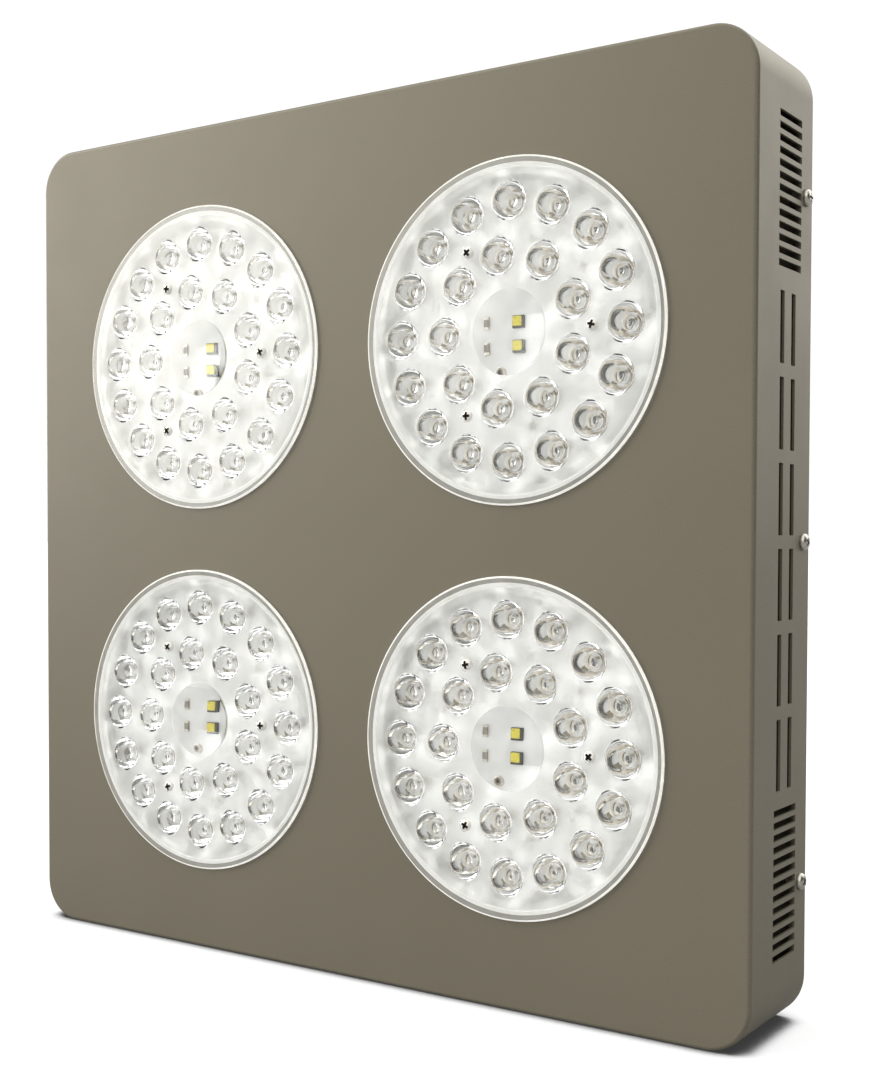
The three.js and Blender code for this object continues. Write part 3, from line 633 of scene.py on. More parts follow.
def cover_flange(side):
    """Upright strip just inside a side wall, with bosses behind its screw holes."""
    name = f"cover_flange_{'right' if side > 0 else 'left'}"
    outer = WIDTH / 2 - SHEET - COVER_GAP
    inner = outer - SHEET
    x0, x1 = sorted((side * outer, side * inner))
    outline = [(FLANGE_FRONT, -FLANGE_HALF), (FLANGE_FRONT, FLANGE_HALF),
               (FLANGE_BACK, FLANGE_HALF), (FLANGE_BACK, -FLANGE_HALF)]
    blank = mesh_object(name, prism_x(outline, x0, x1), smooth=False)
    cut(blank, [prism_x(circle(CLEARANCE_R, 20, SIDE_HOLE_Y, z), x0 - 1, x1 + 1)
                for z in SIDE_HOLES_Z])
    faces = [tuple(polygon.vertices) for polygon in blank.data.polygons]
    parts = [([tuple(vertex.co / MM) for vertex in blank.data.vertices], faces, [0] * len(faces))]
    for z in SIDE_HOLES_Z:
        parts.append(loft([[(side * (inner - x), py, pz)
                            for py, pz in circle(r, 24, SIDE_HOLE_Y, z)]
                           for x, r in BOSS], closed=True))
    bpy.data.objects.remove(blank)
    return mesh_object(name, merged(parts), [CASE_PAINT], weighted=True)


install(rear_plate(), "rear_cover")
for side in (-1, 1):
    install(cover_flange(side))


# ------------------------------------------------------------- lens plates
SMALL_COUNT, CENTRE_COUNT, RIM_COUNT, SCREW_COUNT = 36, 72, 128, 28    # points round each
CLEAR_SLOT, FROSTED_SLOT, RIM_SLOT, EDGE_SLOT = range(4)
# Hole radii in the two flat sheets
FRONT_SHEET = {"rim": 81.6, "small": 9.55, "centre": 20.9, "screw": 3.6}
BACK_SHEET = {"rim": 76.9, "small": 9.2, "centre": 20.5, "screw": 1.9}
# Plate edge, front to back: radius, y, slot of the band that ends there
RIM_BANDS = [
    (82.0, LENS_FRONT + 0.06, EDGE_SLOT), (82.3, LENS_FRONT + 0.22, EDGE_SLOT),
    (82.5, LENS_FRONT + 0.55, EDGE_SLOT), (82.5, -0.45, EDGE_SLOT), (82.35, -0.3, CLEAR_SLOT),
    (79.5, -0.3, RIM_SLOT), (77.9, -0.3, EDGE_SLOT), (77.6, 0.0, EDGE_SLOT),
    (77.6, 0.4, EDGE_SLOT), (77.4, LENS_BACK - 0.05, EDGE_SLOT),
]
# Slightly domed face of a small lens: radius, rise in front of the plate
SMALL_FACE = [(9.45, 0.10), (9.2, 0.22), (8.8, 0.26), (7.0, 0.30), (4.0, 0.36), (1.8, 0.39)]
SMALL_FACE_RISE = 0.40
# Collimator behind it, out to its foot and back up the hollow: radius, y
COLLIMATOR = [
    (8.95, 1.9), (8.45, 3.3), (7.75, 4.9), (6.9, 6.4), (5.9, 7.8), (5.0, 8.85), (4.75, 9.1),
    (3.95, 9.1), (3.85, 8.95), (3.6, 3.8), (3.45, 3.55), (3.0, 3.70), (2.4, 3.98),
    (1.6, 4.27), (0.8, 4.43),
]
HOLLOW_TOP = 4.48
# Centre lens: a proud domed face in front, a smooth dome behind
CENTRE_FACE_R, CENTRE_STEP, CENTRE_RISE = 20.4, 0.22, 0.8
CENTRE_FACE_RADII = (19.8, 18.4, 16.4, 14.0, 11.3, 8.5, 5.7, 3.0, 1.2)
BACK_DOME_RISE = 1.3
BACK_DOME_RADII = (20.2, 19.6, 18.6, 17.2, 15.5, 13.5, 11.3, 9.0, 6.6, 4.2, 2.0)


def flat_sheet(outer, holes, y, facing_back):
    """Triangulated sheet with round holes. Returns vertices, faces and its index loops."""
    points, edges, loops = [], [], []
    for ring in [outer] + holes:
        start, count = len(points), len(ring)
        points += [Vector(p) for p in ring]
        loops.append(list(range(start, start + count)))
        edges += [(start + i, start + (i + 1) % count) for i in range(count)]
    flat, _, triangles, sources, _, _ = delaunay_2d_cdt(points, edges, [], 1, 1e-7)
    new_index = {old: new for new, olds in enumerate(sources) for old in olds}
    discs = []
    for ring in holes:
        centre = (sum(p[0] for p in ring) / len(ring), sum(p[1] for p in ring) / len(ring))
        discs.append((centre, max(math.dist(p, centre) for p in ring)))
    limit = max(p[0] ** 2 + p[1] ** 2 for p in outer)
    faces = []
    for face in triangles:
        middle = sum((flat[i] for i in face), Vector((0, 0))) / len(face)
        in_hole = any(math.hypot(middle[0] - x, middle[1] - z) < r * 0.999
                      for (x, z), r in discs)
        if not in_hole and sum(value * value for value in middle) <= limit:
            faces.append(tuple(face))
    area = 0.0
    for face in faces:
        a, b, c = (flat[i] for i in face[:3])
        area += (b[0] - a[0]) * (c[1] - a[1]) - (c[0] - a[0]) * (b[1] - a[1])
    # Counter-clockwise in (x, z) faces the front, along -Y
    if (area > 0) == facing_back:
        faces = [tuple(reversed(face)) for face in faces]
    return at_y(flat, y), faces, [[new_index[i] for i in loop] for loop in loops]


class Skin:
    """A closed surface put together from sheets and rings that share vertices."""

    def __init__(self):
        self.vertices, self.faces = [], []

    def add(self, vertices, faces, loops):
        start = len(self.vertices)
        self.vertices += vertices
        self.faces += [tuple(i + start for i in face) for face in faces]
        return [[i + start for i in loop] for loop in loops]

    def band(self, a, b):
        n = len(a)
        self.faces += [(a[i], b[i], b[(i + 1) % n], a[(i + 1) % n]) for i in range(n)]

    def rings(self, loop, centre, profile, cap=None):
        """Skins on from a loop through circles (r, y); cap is the y of a centre point."""
        n = len(loop)
        cx, cz = centre
        first, second = (math.atan2(self.vertices[i][2] - cz, self.vertices[i][0] - cx)
                         for i in loop[:2])
        sense = 1 if math.sin(second - first) > 0 else -1
        for r, y in profile:
            start = len(self.vertices)
            angles = [first + sense * TAU * i / n for i in range(n)]
            self.vertices += [(cx + r * math.cos(t), y, cz + r * math.sin(t)) for t in angles]
            ring = list(range(start, start + n))
            self.band(loop, ring)
            loop = ring
        if cap is not None:
            tip = len(self.vertices)
            self.vertices.append((cx, cap, cz))
            self.faces += [(loop[i], tip, loop[(i + 1) % n]) for i in range(n)]
        return loop

    def bridge(self, a, b):
        """Joins two loops of equal count, starting from their closest vertices."""
        n = len(a)

        def gap(i, k):
            return (Vector(self.vertices[a[i]]) - Vector(self.vertices[b[k % n]])).length

        best = min(range(n), key=lambda k: gap(0, k))
        step = 1 if gap(1, best + 1) < gap(1, best - 1) else -1
        self.band(a, [b[(best + step * i) % n] for i in range(n)])


def add_sheet(skin, radii, y, facing_back):
    """Adds a sheet; returns its rim, small-lens, centre and screw loops."""
    holes = [circle(radii["small"], SMALL_COUNT, *polar(*place)) for place in SMALL_LENSES]
    holes += [circle(radii["centre"], CENTRE_COUNT)]
    holes += [circle(radii["screw"], SCREW_COUNT, *polar(*place)) for place in PLATE_SCREWS]
    rim = circle(radii["rim"], RIM_COUNT)
    loops = skin.add(*flat_sheet(rim, holes, y, facing_back))
    small_end = 1 + len(SMALL_LENSES)
    return loops[0], loops[1:small_end], loops[small_end], loops[small_end + 1:]


def lens_skin():
    """Skin of the whole plate, and the material slot of each face."""
    skin = Skin()
    front_rim, front_small, front_centre, front_screws = add_sheet(
        skin, FRONT_SHEET, LENS_FRONT, facing_back=False)
    frosted_start = len(skin.faces)
    back_rim, back_small, back_centre, back_screws = add_sheet(
        skin, BACK_SHEET, LENS_BACK, facing_back=True)
    rim_start = len(skin.faces)
    rim = skin.rings(front_rim, (0, 0), [(r, y) for r, y, _ in RIM_BANDS])
    skin.bridge(rim, back_rim)
    slots = [CLEAR_SLOT] * frosted_start + [FROSTED_SLOT] * (rim_start - frosted_start)
    for slot in [slot for _, _, slot in RIM_BANDS] + [EDGE_SLOT]:
        slots += [slot] * RIM_COUNT

    small_face = [(r, LENS_FRONT - rise) for r, rise in SMALL_FACE]
    for place, front, back in zip(SMALL_LENSES, front_small, back_small):
        centre = polar(*place)
        skin.rings(front, centre, small_face, LENS_FRONT - SMALL_FACE_RISE)
        skin.rings(back, centre, COLLIMATOR, HOLLOW_TOP)

    step_y = LENS_FRONT - CENTRE_STEP
    face = [(20.75, LENS_FRONT - 0.12), (CENTRE_FACE_R, step_y)]
    face += [(r, step_y - CENTRE_RISE * (1 - (r / CENTRE_FACE_R) ** 2))
             for r in CENTRE_FACE_RADII]
    skin.rings(front_centre, (0, 0), face, step_y - CENTRE_RISE)
    dome = [(r, LENS_BACK + BACK_DOME_RISE * (1 - (r / BACK_SHEET["centre"]) ** 2))
            for r in BACK_DOME_RADII]
    skin.rings(back_centre, (0, 0), dome, LENS_BACK + BACK_DOME_RISE)

    # Screw holes with a shallow recess in front
    recess = [(3.5, LENS_FRONT + 0.1), (3.45, LENS_FRONT + 0.8), (1.9, LENS_FRONT + 0.8)]
    for place, front, back in zip(PLATE_SCREWS, front_screws, back_screws):
        skin.bridge(skin.rings(front, polar(*place), recess), back)
    slots += [CLEAR_SLOT] * (len(skin.faces) - len(slots))
    return skin, slots


def lens_plate():
    skin, slots = lens_skin()
    part = (skin.vertices, outward(skin.vertices, skin.faces), slots)
    ob = mesh_object("lens_moulding", part, [CLEAR, FROSTED, RIM, EDGE], sharp=40)
    bm = bmesh.new()
    bm.from_mesh(ob.data)
    bmesh.ops.remove_doubles(bm, verts=bm.verts, dist=1e-7)
    bmesh.ops.recalc_face_normals(bm, faces=bm.faces)
    bm.to_mesh(ob.data)
    bm.free()
    shade(ob, 40, weighted=True)
    return ob


install_copies(lens_plate(), "lens_moulding", MODULES, "lens_plate")


# ------------------------------------------------------------- silicone rings
# Radius, y
GASKET = [(73.8, 1.3), (74.1, 1.0), (77.1, 1.0), (77.4, 1.3),
          (77.4, 10.1), (77.1, 10.4), (74.1, 10.4), (73.8, 10.1)]

silicone_ring = mesh_object("silicone_ring", tube(GASKET, 112), [WHITE_SILICONE], sharp=50)
install_copies(silicone_ring, "silicone_ring", MODULES, "lens_gasket")


# ------------------------------------------------------------- screws
def pan_head(head_r, head_h, shank_r, length, seat, arm, arm_ratio, material, n=28):
    """Cross-recess screw along Y, head to the front; seat is the y under its head.

    arm is the recess's reach from the axis, arm_ratio its half width over that reach.
    """
    top = seat - head_h
    profile = [
        (0, top), (head_r * 0.35, top + 0.02), (head_r * 0.62, top + head_h * 0.07),
        (head_r * 0.82, top + head_h * 0.22), (head_r * 0.94, top + head_h * 0.45),
        (head_r, top + head_h * 0.72), (head_r, seat - 0.05), (head_r - 0.1, seat),
        (shank_r, seat),
    ]
    y = seat + 0.4
    while y < seat + length - 1.2:
        profile += [(shank_r, y), (shank_r * 0.84, y + 0.25)]
        y += 0.5
    profile += [(shank_r * 0.8, seat + length - 0.6), (shank_r * 0.35, seat + length),
                (0, seat + length)]
    ob = mesh_object("screw", lathe(profile, n), smooth=False)
    half = arm * arm_ratio
    corners = ((-arm, -half), (arm, -half), (arm, half), (-arm, half))
    # Tapered slot: y, scale
    levels = ((top - 0.5, 1.06), (top + 0.05, 1.0), (top + head_h * 0.75, 0.55))
    slot = loft([[(x * scale, y, z * scale) for x, z in corners] for y, scale in levels])
    cut(ob, [slot])
    cut(ob, [mapped(slot, lambda p: (p[2], p[1], p[0]))])
    set_materials(ob, material, RECESS_PAINTED_SHADE)
    # Faces deep in the cross recess get the near-black painted shade
    for polygon in ob.data.polygons:
        x, y, z = polygon.center / MM
        steep = abs(polygon.normal.y) < 0.6 and y > top + 0.02
        deep = y > top + 0.5 * head_h or steep
        in_recess = math.hypot(x, z) < arm * 1.1 and y < seat - 0.1 and deep
        polygon.material_index = 1 if in_recess else 0
    shade(ob, 35)
    return ob


def plate_screws():
    screw = pan_head(head_r=2.75, head_h=1.9, shank_r=1.4, length=16, seat=LENS_FRONT + 0.7,
                     arm=2.15, arm_ratio=0.32, material=STEEL_PAINTED_REFLECTION)
    places = []
    for tag, (module_x, _, module_z) in MODULES:
        for i, place in enumerate(PLATE_SCREWS):
            x, z = polar(*place)
            places.append((f"{tag}_{i + 1}", (module_x + x, 0, module_z + z)))
    for tag, ob in copies(screw, "plate_screw", places):
        ob.rotation_euler = (0, tag_angle(tag, 37), 0)
        install(ob, f"lens_screw_{tag}")


def turned_copies(screw, name, places, facing, step):
    """Copies turned about Z by facing(tag) degrees, each rolled by its own angle."""
    for tag, ob in copies(screw, name, places):
        turn = Matrix.Rotation(math.radians(facing(tag)), 4, "Z")
        roll = Matrix.Rotation(tag_angle(tag, step), 4, "Y")
        ob.matrix_world = Matrix.Translation(ob.location) @ turn @ roll
        yield tag, ob


def wall_screws():
    screw = pan_head(head_r=4.0, head_h=2.6, shank_r=1.9, length=9, seat=0,
                     arm=2.3, arm_ratio=0.2, material=PLATED_STEEL)
    places = [(f"{side}_{i + 1}", (sign * (WIDTH / 2 + 0.1), SIDE_HOLE_Y, z))
              for side, sign in (("left", -1), ("right", 1))
              for i, z in enumerate(SIDE_HOLES_Z)]
    for tag, ob in turned_copies(screw, "wall_screw", places,
                                 lambda tag: 90 if tag.startswith("right") else -90, step=29):
        install(ob, f"cover_screw_{tag}")


plate_screws()
wall_screws()


# ------------------------------------------------------------- LED boards
BOARD_R, BOARD_THICK = 79.9, 1.6
BOARD_MATERIALS = [SOLDER_MASK_PAINTED_GLOW, LED_DIE, LED_CONTACT, LED_DOME, EMITTER_BODY,
                   YELLOW_PHOSPHOR, DARK_PACKAGE, SMALL_PACKAGE, TINNED, EMITTER_SILICONE]
MASK, DIE, CONTACT, _, BODY, PHOSPHOR, DARK, SMALL, TIN, SILICONE = range(10)
DOME_R, DOME_Y = 2.75, 8.0
LEAD_ANGLE = 35
# Grey dots between the emitters, painted shade for soft grey spots under the plate: radius,
# angles in degrees
SHADE_DOTS = [(44.8, (40, 80, 160, -160, -80, -40)),
        (71.3, (0, 40, 80, 120, 160, -160, -120, -80, -40))]
# Components under the centre lens
YELLOW_X, YELLOW_Z = -0.3, (5.5, -5.5)
PACKAGE_X, PACKAGE_Z = -17.0, (5.8, -5.6)
CAN_PLACE = (-9.8, -16.8)


def emitter():
    """Round body, silicone dome over a die with a bar each side, two leads."""
    body = lathe([(0, 7.85), (1.9, 7.85), (2.0, 7.7), (3.0, 7.7), (3.45, 7.95), (3.8, 8.4),
                  (3.8, 10.3), (3.6, 10.75), (0, 10.75)], 24, [TIN, CONTACT] + [BODY] * 6)
    arc = [(DOME_R * math.sin(math.radians(t)), DOME_Y - DOME_R * math.cos(math.radians(t)))
           for t in range(10, 91, 10)]
    dome = slotted(lathe([(0, DOME_Y - DOME_R)] + arc + [(0, DOME_Y)], 24), SILICONE)
    die = slotted(box(-0.95, 0.95, 7.5, 7.9, -0.95, 0.95), DIE)
    bars = [slotted(box(x - 0.2, x + 0.2, 7.6, 7.9, -1.0, 1.0), DIE) for x in (-1.7, 1.7)]
    lead = slotted(box(3.7, 6.1, 9.6, 10.2, -1.1, 1.1), CONTACT)
    cos, sin = polar(1, LEAD_ANGLE)
    leads = [mapped(lead, lambda p, end=end: (end * (p[0] * cos - p[2] * sin), p[1],
                                              end * (p[0] * sin + p[2] * cos)))
             for end in (1, -1)]
    return merged([body, dome, die] + bars + leads)


def block(x, z, slot, corner, steps, levels):
    """Rounded block; levels are (width, height, y)."""
    return slotted(loft([at_y(rounded(width, height, corner, steps, x, z), y)
                         for width, height, y in levels]), slot)


def centre_components():
    """Two yellow emitters, two small packages and a round can."""
    foot = BOARD_Y + 0.05
    parts = []
    for z in YELLOW_Z:
        parts.append(block(YELLOW_X, z, DARK, 0.3, 2,
                           [(5.8, 5.8, foot), (5.8, 5.8, BOARD_Y - 1.1)]))
        # The phosphor sits up and to the left on its black base, so a wider dark border shows on
        # the right and bottom: painted shade
        parts.append(block(YELLOW_X - 0.4, z + 0.35, PHOSPHOR, 0.5, 3,
                           [(4.5, 4.5, BOARD_Y - 1.05), (4.5, 4.5, BOARD_Y - 1.4),
                            (4.1, 4.1, BOARD_Y - 1.6)]))
    for z in PACKAGE_Z:
        parts.append(block(PACKAGE_X, z, SMALL, 0.25, 2,
                           [(2.6, 3.4, foot), (2.6, 3.4, BOARD_Y - 1.2)]))
        for end in (-1, 1):
            parts.append(block(PACKAGE_X, z + end * 2.3, TIN, 0.25, 2,
                               [(2.7, 1.1, foot), (2.7, 1.1, BOARD_Y - 1.1)]))
    can = lathe([(0, BOARD_Y - 1.2), (0.9, BOARD_Y - 1.2), (1.0, BOARD_Y - 1.6),
                 (1.9, BOARD_Y - 1.6), (2.3, BOARD_Y - 1.45), (2.5, BOARD_Y - 1.1),
                 (2.5, foot), (0, foot)], 28, [DARK, DARK, SMALL] + [TIN] * 4)
    parts.append(moved(can, *CAN_PLACE))
    return parts


def led_board():
    back = BOARD_Y + BOARD_THICK
    parts = [lathe([(0, BOARD_Y), (BOARD_R - 0.3, BOARD_Y), (BOARD_R, BOARD_Y + 0.3),
                    (BOARD_R, back), (0, back)], 96, [MASK] * 4)]
    one_emitter = emitter()
    parts += [moved(one_emitter, *polar(*place)) for place in SMALL_LENSES]
    # Painted shade: small grey dots between the emitters
    shade_dot = lathe([(0, BOARD_Y - 0.9), (1.5, BOARD_Y - 0.9), (1.8, BOARD_Y - 0.6),
                 (1.8, BOARD_Y + 0.05), (0, BOARD_Y + 0.05)], 20, [SMALL] * 4)
    parts += [moved(shade_dot, *polar(radius, angle)) for radius, angles in SHADE_DOTS for angle in angles]
    parts += centre_components()
    # Sleeves round the plate screws
    sleeve = slotted(tube([(1.9, 1.2), (2.05, 1.0), (2.9, 1.0), (3.1, 1.2),
                           (3.1, BOARD_Y + 0.1), (1.9, BOARD_Y + 0.1)], 28), MASK)
    parts += [moved(sleeve, *polar(*place)) for place in PLATE_SCREWS]
    return mesh_object("led_board_assembly", merged(parts), BOARD_MATERIALS, sharp=35)


install_copies(led_board(), "led_board_assembly", MODULES, "led_board")


# ------------------------------------------------------------- CAD pieces that stay
def finish_cad(name, material, bevel, segments=2):
    """Gives a CAD piece its material, clean flat faces and bevelled edges."""
    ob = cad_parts[name]
    set_materials(ob, material)
    decimate = ob.modifiers.new("flat", "DECIMATE")
    decimate.decimate_type = "DISSOLVE"
    decimate.angle_limit = math.radians(1)
    bevel_edges(ob, bevel, segments)


for tag in QUADRANTS:
    finish_cad(f"heat_sink_{tag}", ALUMINIUM, bevel=0.25)
    finish_cad(f"fan_frame_{tag}", BLACK_PLASTIC, bevel=0.25)
for name in ("led_driver_front", "led_driver_rear"):
    finish_cad(name, DRIVER_CASE, bevel=0.4)
finish_cad("power_inlet", BLACK_PLASTIC, bevel=0.35)
finish_cad("fuse_drawer", BLACK_PLASTIC, bevel=0.3)
for i in (1, 2):
    finish_cad(f"switch_body_{i}", BLACK_PLASTIC, bevel=0.35)
    finish_cad(f"switch_rocker_{i}", RED_ROCKER, bevel=0.3, segments=3)


# ------------------------------------------------------------- fan rotors
ROTOR_FRONT, ROTOR_BACK = 39.5 + 3.4, 39.5 + 22.4
BLADES = 7
BLADE_ROOT_R, BLADE_TIP_R = 17.9, 42.0
BLADE_Y = (ROTOR_FRONT + ROTOR_BACK) / 2 - 0.6
SPAN_STEPS, CHORD_STEPS = 9, 10


def blade(number):
    """Cambered, twisted blade: a back skin and a front skin joined at the edges."""
    back, front = [], []
    for i in range(SPAN_STEPS + 1):
        s = i / SPAN_STEPS
        r = BLADE_ROOT_R + (BLADE_TIP_R - BLADE_ROOT_R) * s
        pitch = math.radians(38 - 14 * s)
        chord = 16 + 10 * s
        lean = math.radians(20 * s * s * 0.6 + 20 * s * 0.4)
        for j in range(CHORD_STEPS + 1):
            along = (j / CHORD_STEPS - 0.5) * chord
            bulge = 1 - (2 * j / CHORD_STEPS - 1) ** 2
            camber = 1.6 * bulge
            half_thick = 0.25 + 0.65 * bulge ** 0.5
            for side, skin in ((1, back), (-1, front)):
                height = camber + side * half_thick
                tangent = along * math.cos(pitch) - height * math.sin(pitch)
                axial = along * math.sin(pitch) + height * math.cos(pitch)
                angle = lean + tangent / r + TAU * number / BLADES
                skin.append((r * math.cos(angle), BLADE_Y + axial, r * math.sin(angle)))
    row, o = CHORD_STEPS + 1, len(back)      # o is the front skin's first index
    faces = []
    for i in range(SPAN_STEPS):
        for j in range(CHORD_STEPS):
            a = i * row + j
            faces.append((a, a + 1, a + row + 1, a + row))
            faces.append((o + a, o + a + row, o + a + row + 1, o + a + 1))
        a = i * row
        faces.append((a, a + row, o + a + row, o + a))
        a += CHORD_STEPS
        faces.append((a, o + a, o + a + row, a + row))
    for j in range(CHORD_STEPS):
        faces.append((j, o + j, o + j + 1, j + 1))
        a = SPAN_STEPS * row + j
        faces.append((a, a + 1, o + a + 1, o + a))
    vertices = back + front
    return vertices, outward(vertices, faces), [0] * len(faces)


def rotor():
    front, back = ROTOR_FRONT, ROTOR_BACK
    hub = lathe([(0, 43.1), (1.4, 43.1), (1.4, back - 1.6), (16.6, back - 1.6),
                 (17.4, back - 2.4), (17.4, front), (19, front), (19, back - 1.6),
                 (18.6, back - 0.7), (17.8, back - 0.15), (16.8, back), (0, back)], 56)
    label = slotted(lathe([(0, back - 0.02), (14, back - 0.02), (14, back + 0.12),
                           (0, back + 0.12)], 48), 1)
    parts = [hub, label] + [blade(number) for number in range(BLADES)]
    return mesh_object("impeller", merged(parts), [ROTOR_PLASTIC, LABEL], sharp=40)


install_copies(rotor(), "impeller", MODULES, "fan_rotor", body="rotor")


# ------------------------------------------------------------- fan guards and their screws
GUARD_WIRE_R, GUARD_WIRE_SIDES = 0.75, 10
GUARD_RINGS = (9.5, 18.5, 27.5, 36.5, 45.5)
GUARD_Y = DEPTH + 0.3 + 0.8
# Spoke: radius, y
SPOKE = [(8.6, GUARD_Y + 0.1), (12, GUARD_Y), (44, GUARD_Y), (48, GUARD_Y),
         (53.6, GUARD_Y - 0.1)]


def guard():
    """Concentric wire rings on four diagonal spokes, each ending in a screw eye."""
    def wire(path, closed):
        return sweep(path, GUARD_WIRE_R, GUARD_WIRE_SIDES, closed)

    parts = [wire(at_y(circle(r, 72 if r > 25 else 48), GUARD_Y + 1.5), True)
             for r in GUARD_RINGS]
    for k in range(4):
        cos, sin = polar(1, 45 + 90 * k)
        parts.append(wire([(r * cos, y, r * sin) for r, y in SPOKE], False))
        eye = (math.copysign(FAN_HOLE, cos), math.copysign(FAN_HOLE, sin))
        parts.append(wire(at_y(circle(3.5, 28, *eye), GUARD_Y - 0.05), True))
    return mesh_object("finger_guard", merged(parts), [BRIGHT_WIRE], sharp=50)


def fan_screws():
    screw = pan_head(head_r=4.0, head_h=2.4, shank_r=1.9, length=9, seat=0,
                     arm=2.2, arm_ratio=0.2, material=PLATED_STEEL, n=24)
    corners = ((1, 1), (-1, 1), (-1, -1), (1, -1))
    places = [(f"{tag}_{i + 1}", (x + sx * FAN_HOLE, DEPTH + 1.95, z + sz * FAN_HOLE))
              for tag, (x, _, z) in MODULES for i, (sx, sz) in enumerate(corners)]
    for _, ob in turned_copies(screw, "fan_screw", places, lambda tag: 180, step=31):
        install(ob)


install_copies(guard(), "finger_guard", MODULES, "fan_guard")
fan_screws()


# ------------------------------------------------------------- hanger straps and rings
HANGER_X, HANGER_Y = 178.0, DEPTH + 2.5
HANGER_TOP_Z, HANGER_LOW_Z = 176.0, -164.0
HANGERS = [(tag, (sx * HANGER_X, HANGER_Y, HANGER_TOP_Z if sz > 0 else HANGER_LOW_Z))
           for tag, (sx, sz) in QUADRANTS.items()]
RING_HALF, RING_CORNER, RING_DROP = 13.0, 5.0, 24.0
STRAP_INNER_R, STRAP_OUTER_R = 2.7, 4.0
STRAP_FOOT, STRAP_FOOT_TOP, STRAP_FOOT_LENGTH = -2.5, -1.3, 5.0
STRAP_HALF_WIDTH = 6


def d_ring():
    """Wire D with its straight side on top, through the origin."""
    def arc(x, z, radius, start, sweep_angle, steps):
        turns = [math.radians(start + sweep_angle * i / steps) for i in range(steps + 1)]
        return [(x + radius * math.cos(t), 0, z + radius * math.sin(t)) for t in turns]

    flat = RING_HALF - RING_CORNER
    path = arc(flat, -RING_CORNER, RING_CORNER, 90, -90, 8)
    path += arc(0, -(RING_DROP - RING_HALF), RING_HALF, 0, -180, 28)
    path += arc(-flat, -RING_CORNER, RING_CORNER, 180, -90, 8)
    path += [(-flat + 2 * flat * i / 5, 0, 0) for i in range(1, 5)]
    return mesh_object("hanger_wire", sweep(path, 1.8, 14, True), [BRIGHT_WIRE], sharp=60)


def strap():
    """Strip bent over a ring's straight side, with a foot above and below."""
    def bend(radius, angles):
        return [(radius * math.sin(math.radians(a)), radius * math.cos(math.radians(a)))
                for a in angles]

    inner, outer = STRAP_INNER_R, STRAP_OUTER_R
    end = outer + STRAP_FOOT_LENGTH
    profile = [(STRAP_FOOT, end), (STRAP_FOOT, inner)]
    profile += bend(inner, range(0, 181, 12))
    profile += [(STRAP_FOOT, -inner), (STRAP_FOOT, -end),
                (STRAP_FOOT_TOP, -end), (STRAP_FOOT_TOP, -outer)]
    profile += bend(outer, range(180, -1, -12))
    profile += [(STRAP_FOOT_TOP, outer), (STRAP_FOOT_TOP, end)]
    part = prism_x(profile, -STRAP_HALF_WIDTH, STRAP_HALF_WIDTH)
    ob = mesh_object("strap_loop", part, [CASE_PAINT], sharp=28)
    bevel_edges(ob, 0.3)
    return ob


install_copies(d_ring(), "hanger_wire", HANGERS, "hanger_ring", body="ring")
install_copies(strap(), "strap_loop", HANGERS)


# ------------------------------------------------------------- studio floor
FLOOR_HALF = 30.0      # metres


def floor_material():
    """Bright to the camera and through acrylic, with a painted contact shadow near the object;
    plain grey to other rays.
    """
    mat = Material("studio_floor")
    occlusion = mat.add("ShaderNodeAmbientOcclusion", {"Distance": 0.012}, samples=8)
    # Painted contact shadow: darkens the floor close to the object
    contact = mat.ramp(occlusion.outputs["AO"],
                       [(0.48, 0.06), (0.60, 0.62), (0.80, 0.94), (0.96, 1.0)])
    tone = mat.add("ShaderNodeMixRGB", {
        "Fac": 1.0, "Color1": (0.36, 0.373, 0.407, 1), "Color2": contact,
    }, blend_type="MULTIPLY")
    diffuse = mat.add("ShaderNodeBsdfDiffuse", {"Color": tone.outputs[0]})
    emission = mat.add("ShaderNodeEmission", {"Strength": 0.66, "Color": contact})
    bright = mat.add("ShaderNodeAddShader", {0: diffuse.outputs[0], 1: emission.outputs[0]})
    plain = mat.add("ShaderNodeBsdfDiffuse", {"Color": (0.36, 0.36, 0.37, 1)})
    rays = mat.add("ShaderNodeLightPath").outputs
    seen = mat.add("ShaderNodeMath", {
        0: rays["Is Camera Ray"], 1: rays["Is Transmission Ray"]}, operation="MAXIMUM")
    mat.surface(mat.add("ShaderNodeMixShader", {
        "Fac": seen.outputs[0], 1: plain.outputs[0], 2: bright.outputs[0]}))
    return mat.material


def build_floor():
    z = CAD_BOX[0][2]
    mesh = bpy.data.meshes.new("floor")
    corners = [(sx * FLOOR_HALF, sy * FLOOR_HALF, z)
               for sx, sy in ((-1, -1), (1, -1), (1, 1), (-1, 1))]
    mesh.from_pydata(corners, [], [(0, 1, 2, 3)])
    mesh.materials.append(floor_material())
    floor = bpy.data.objects.new("floor", mesh)
    bpy.context.scene.collection.objects.link(floor)


# ------------------------------------------------------------- world light
# Soft lights: direction, cosine at the outer edge, cosine at the full core, strength
SOFT_LIGHTS = [
    ((-0.72, -0.50, 0.48), 0.78, 0.99, 1.7), ((-0.85, -0.40, 0.35), 0.78, 0.99, 3.1),
    ((-0.95, -0.30, 0.10), 0.78, 0.99, 1.9), ((0.50, -0.70, 0.50), 0.78, 0.99, 1.5),
    ((0.30, 0.80, 0.50), 0.78, 0.99, 2.3), ((0.0, 0.0, 1.0), 0.78, 0.99, 1.0),
    ((0.0, 0.0, 1.0), 0.30, 0.95, 0.8),
]
AMBIENT = 0.06             # added all round
TRANSMISSION_EXTRA = 0.78  # added for rays through the acrylic
BACKDROP_STRENGTH = 1.05   # what the camera sees


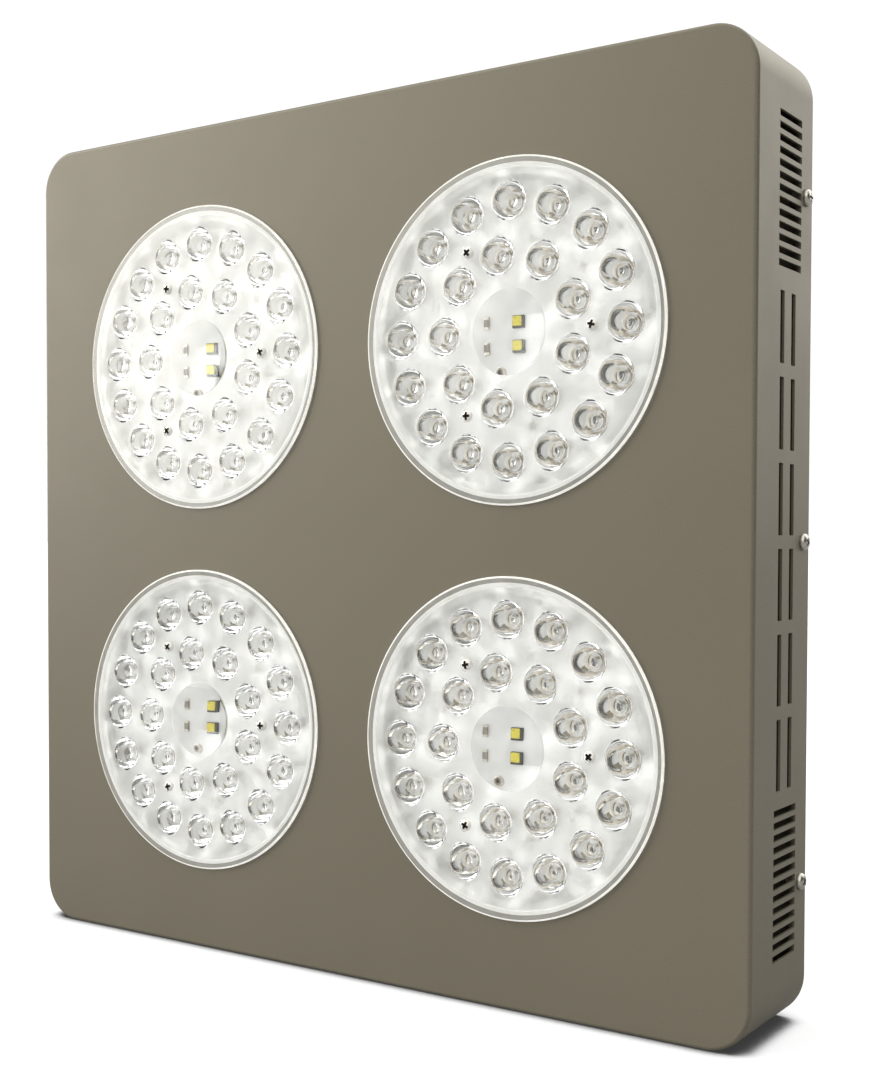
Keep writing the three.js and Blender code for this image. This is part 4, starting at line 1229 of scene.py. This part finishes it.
def build_world():
    world = bpy.data.worlds.new("studio")
    bpy.context.scene.world = world
    world.use_nodes = True
    tree = world.node_tree
    direction = add_node(tree, "ShaderNodeTexCoord").outputs["Generated"]

    def lobe(towards, outer, core, strength):
        dot = add_node(tree, "ShaderNodeVectorMath", {
            0: direction, 1: Vector(towards).normalized()}, operation="DOT_PRODUCT")
        return add_node(tree, "ShaderNodeMapRange", {
            "From Min": outer, "From Max": core, "To Max": strength,
            "Value": dot.outputs["Value"],
        }, interpolation_type="SMOOTHSTEP").outputs["Result"]

    def plus(a, b):
        return add_node(tree, "ShaderNodeMath", {0: a, 1: b}, operation="ADD").outputs[0]

    def choose(ray, otherwise, when):
        """One background for a kind of ray, another for the rest."""
        rays = light_path.outputs
        return add_node(tree, "ShaderNodeMixShader", {
            "Fac": rays[ray], 1: otherwise.outputs[0], 2: when.outputs[0]})

    light = lobe(*SOFT_LIGHTS[0])
    for soft_light in SOFT_LIGHTS[1:]:
        light = plus(light, lobe(*soft_light))
    light = plus(light, AMBIENT)
    studio = tree.nodes["Background"]
    tree.links.new(light, studio.inputs["Strength"])
    studio.inputs["Color"].default_value = (1.0, 0.97, 0.885, 1)
    backdrop = add_node(tree, "ShaderNodeBackground", {
        "Color": (1, 1, 1, 1), "Strength": BACKDROP_STRENGTH})
    through = add_node(tree, "ShaderNodeBackground", {
        "Color": (1, 1, 0.985, 1), "Strength": plus(light, TRANSMISSION_EXTRA)})
    light_path = add_node(tree, "ShaderNodeLightPath")
    unseen = choose("Is Transmission Ray", studio, through)
    result = choose("Is Camera Ray", unseen, backdrop)
    tree.links.new(result.outputs[0], tree.nodes["World Output"].inputs["Surface"])


# ------------------------------------------------------------- camera
CAMERA_PLACE = (0.4704, -0.6114, 0.0031)      # metres from the front panel's centre
CAMERA_RIGHT = (0.8313, 0.5558, 0.0028)
CAMERA_FORWARD = (-0.5555, 0.8310, -0.0303)


def build_camera():
    data = bpy.data.cameras.new("photo_camera")
    camera = bpy.data.objects.new("photo_camera", data)
    bpy.context.scene.collection.objects.link(camera)
    data.sensor_fit = "VERTICAL"
    data.sensor_height = 36.0
    data.sensor_width = 29.631285
    data.lens = 50.242458
    data.shift_x = -0.0011173184
    data.shift_y = 0.0397579143
    data.clip_start = 0.01
    data.clip_end = 200
    forward = Vector(CAMERA_FORWARD).normalized()
    up = Vector(CAMERA_RIGHT).normalized().cross(forward).normalized()
    right = forward.cross(up).normalized()
    rotation = Matrix((right, up, -forward)).transposed().to_4x4()
    camera.matrix_world = OFFSET @ Matrix.Translation(Vector(CAMERA_PLACE)) @ rotation
    bpy.context.scene.camera = camera


def set_view():
    view = bpy.context.scene.view_settings
    view.view_transform = "Standard"
    view.look = "None"
    view.exposure = 0.0
    view.gamma = 1.0


build_floor()
build_world()
build_camera()
set_view()
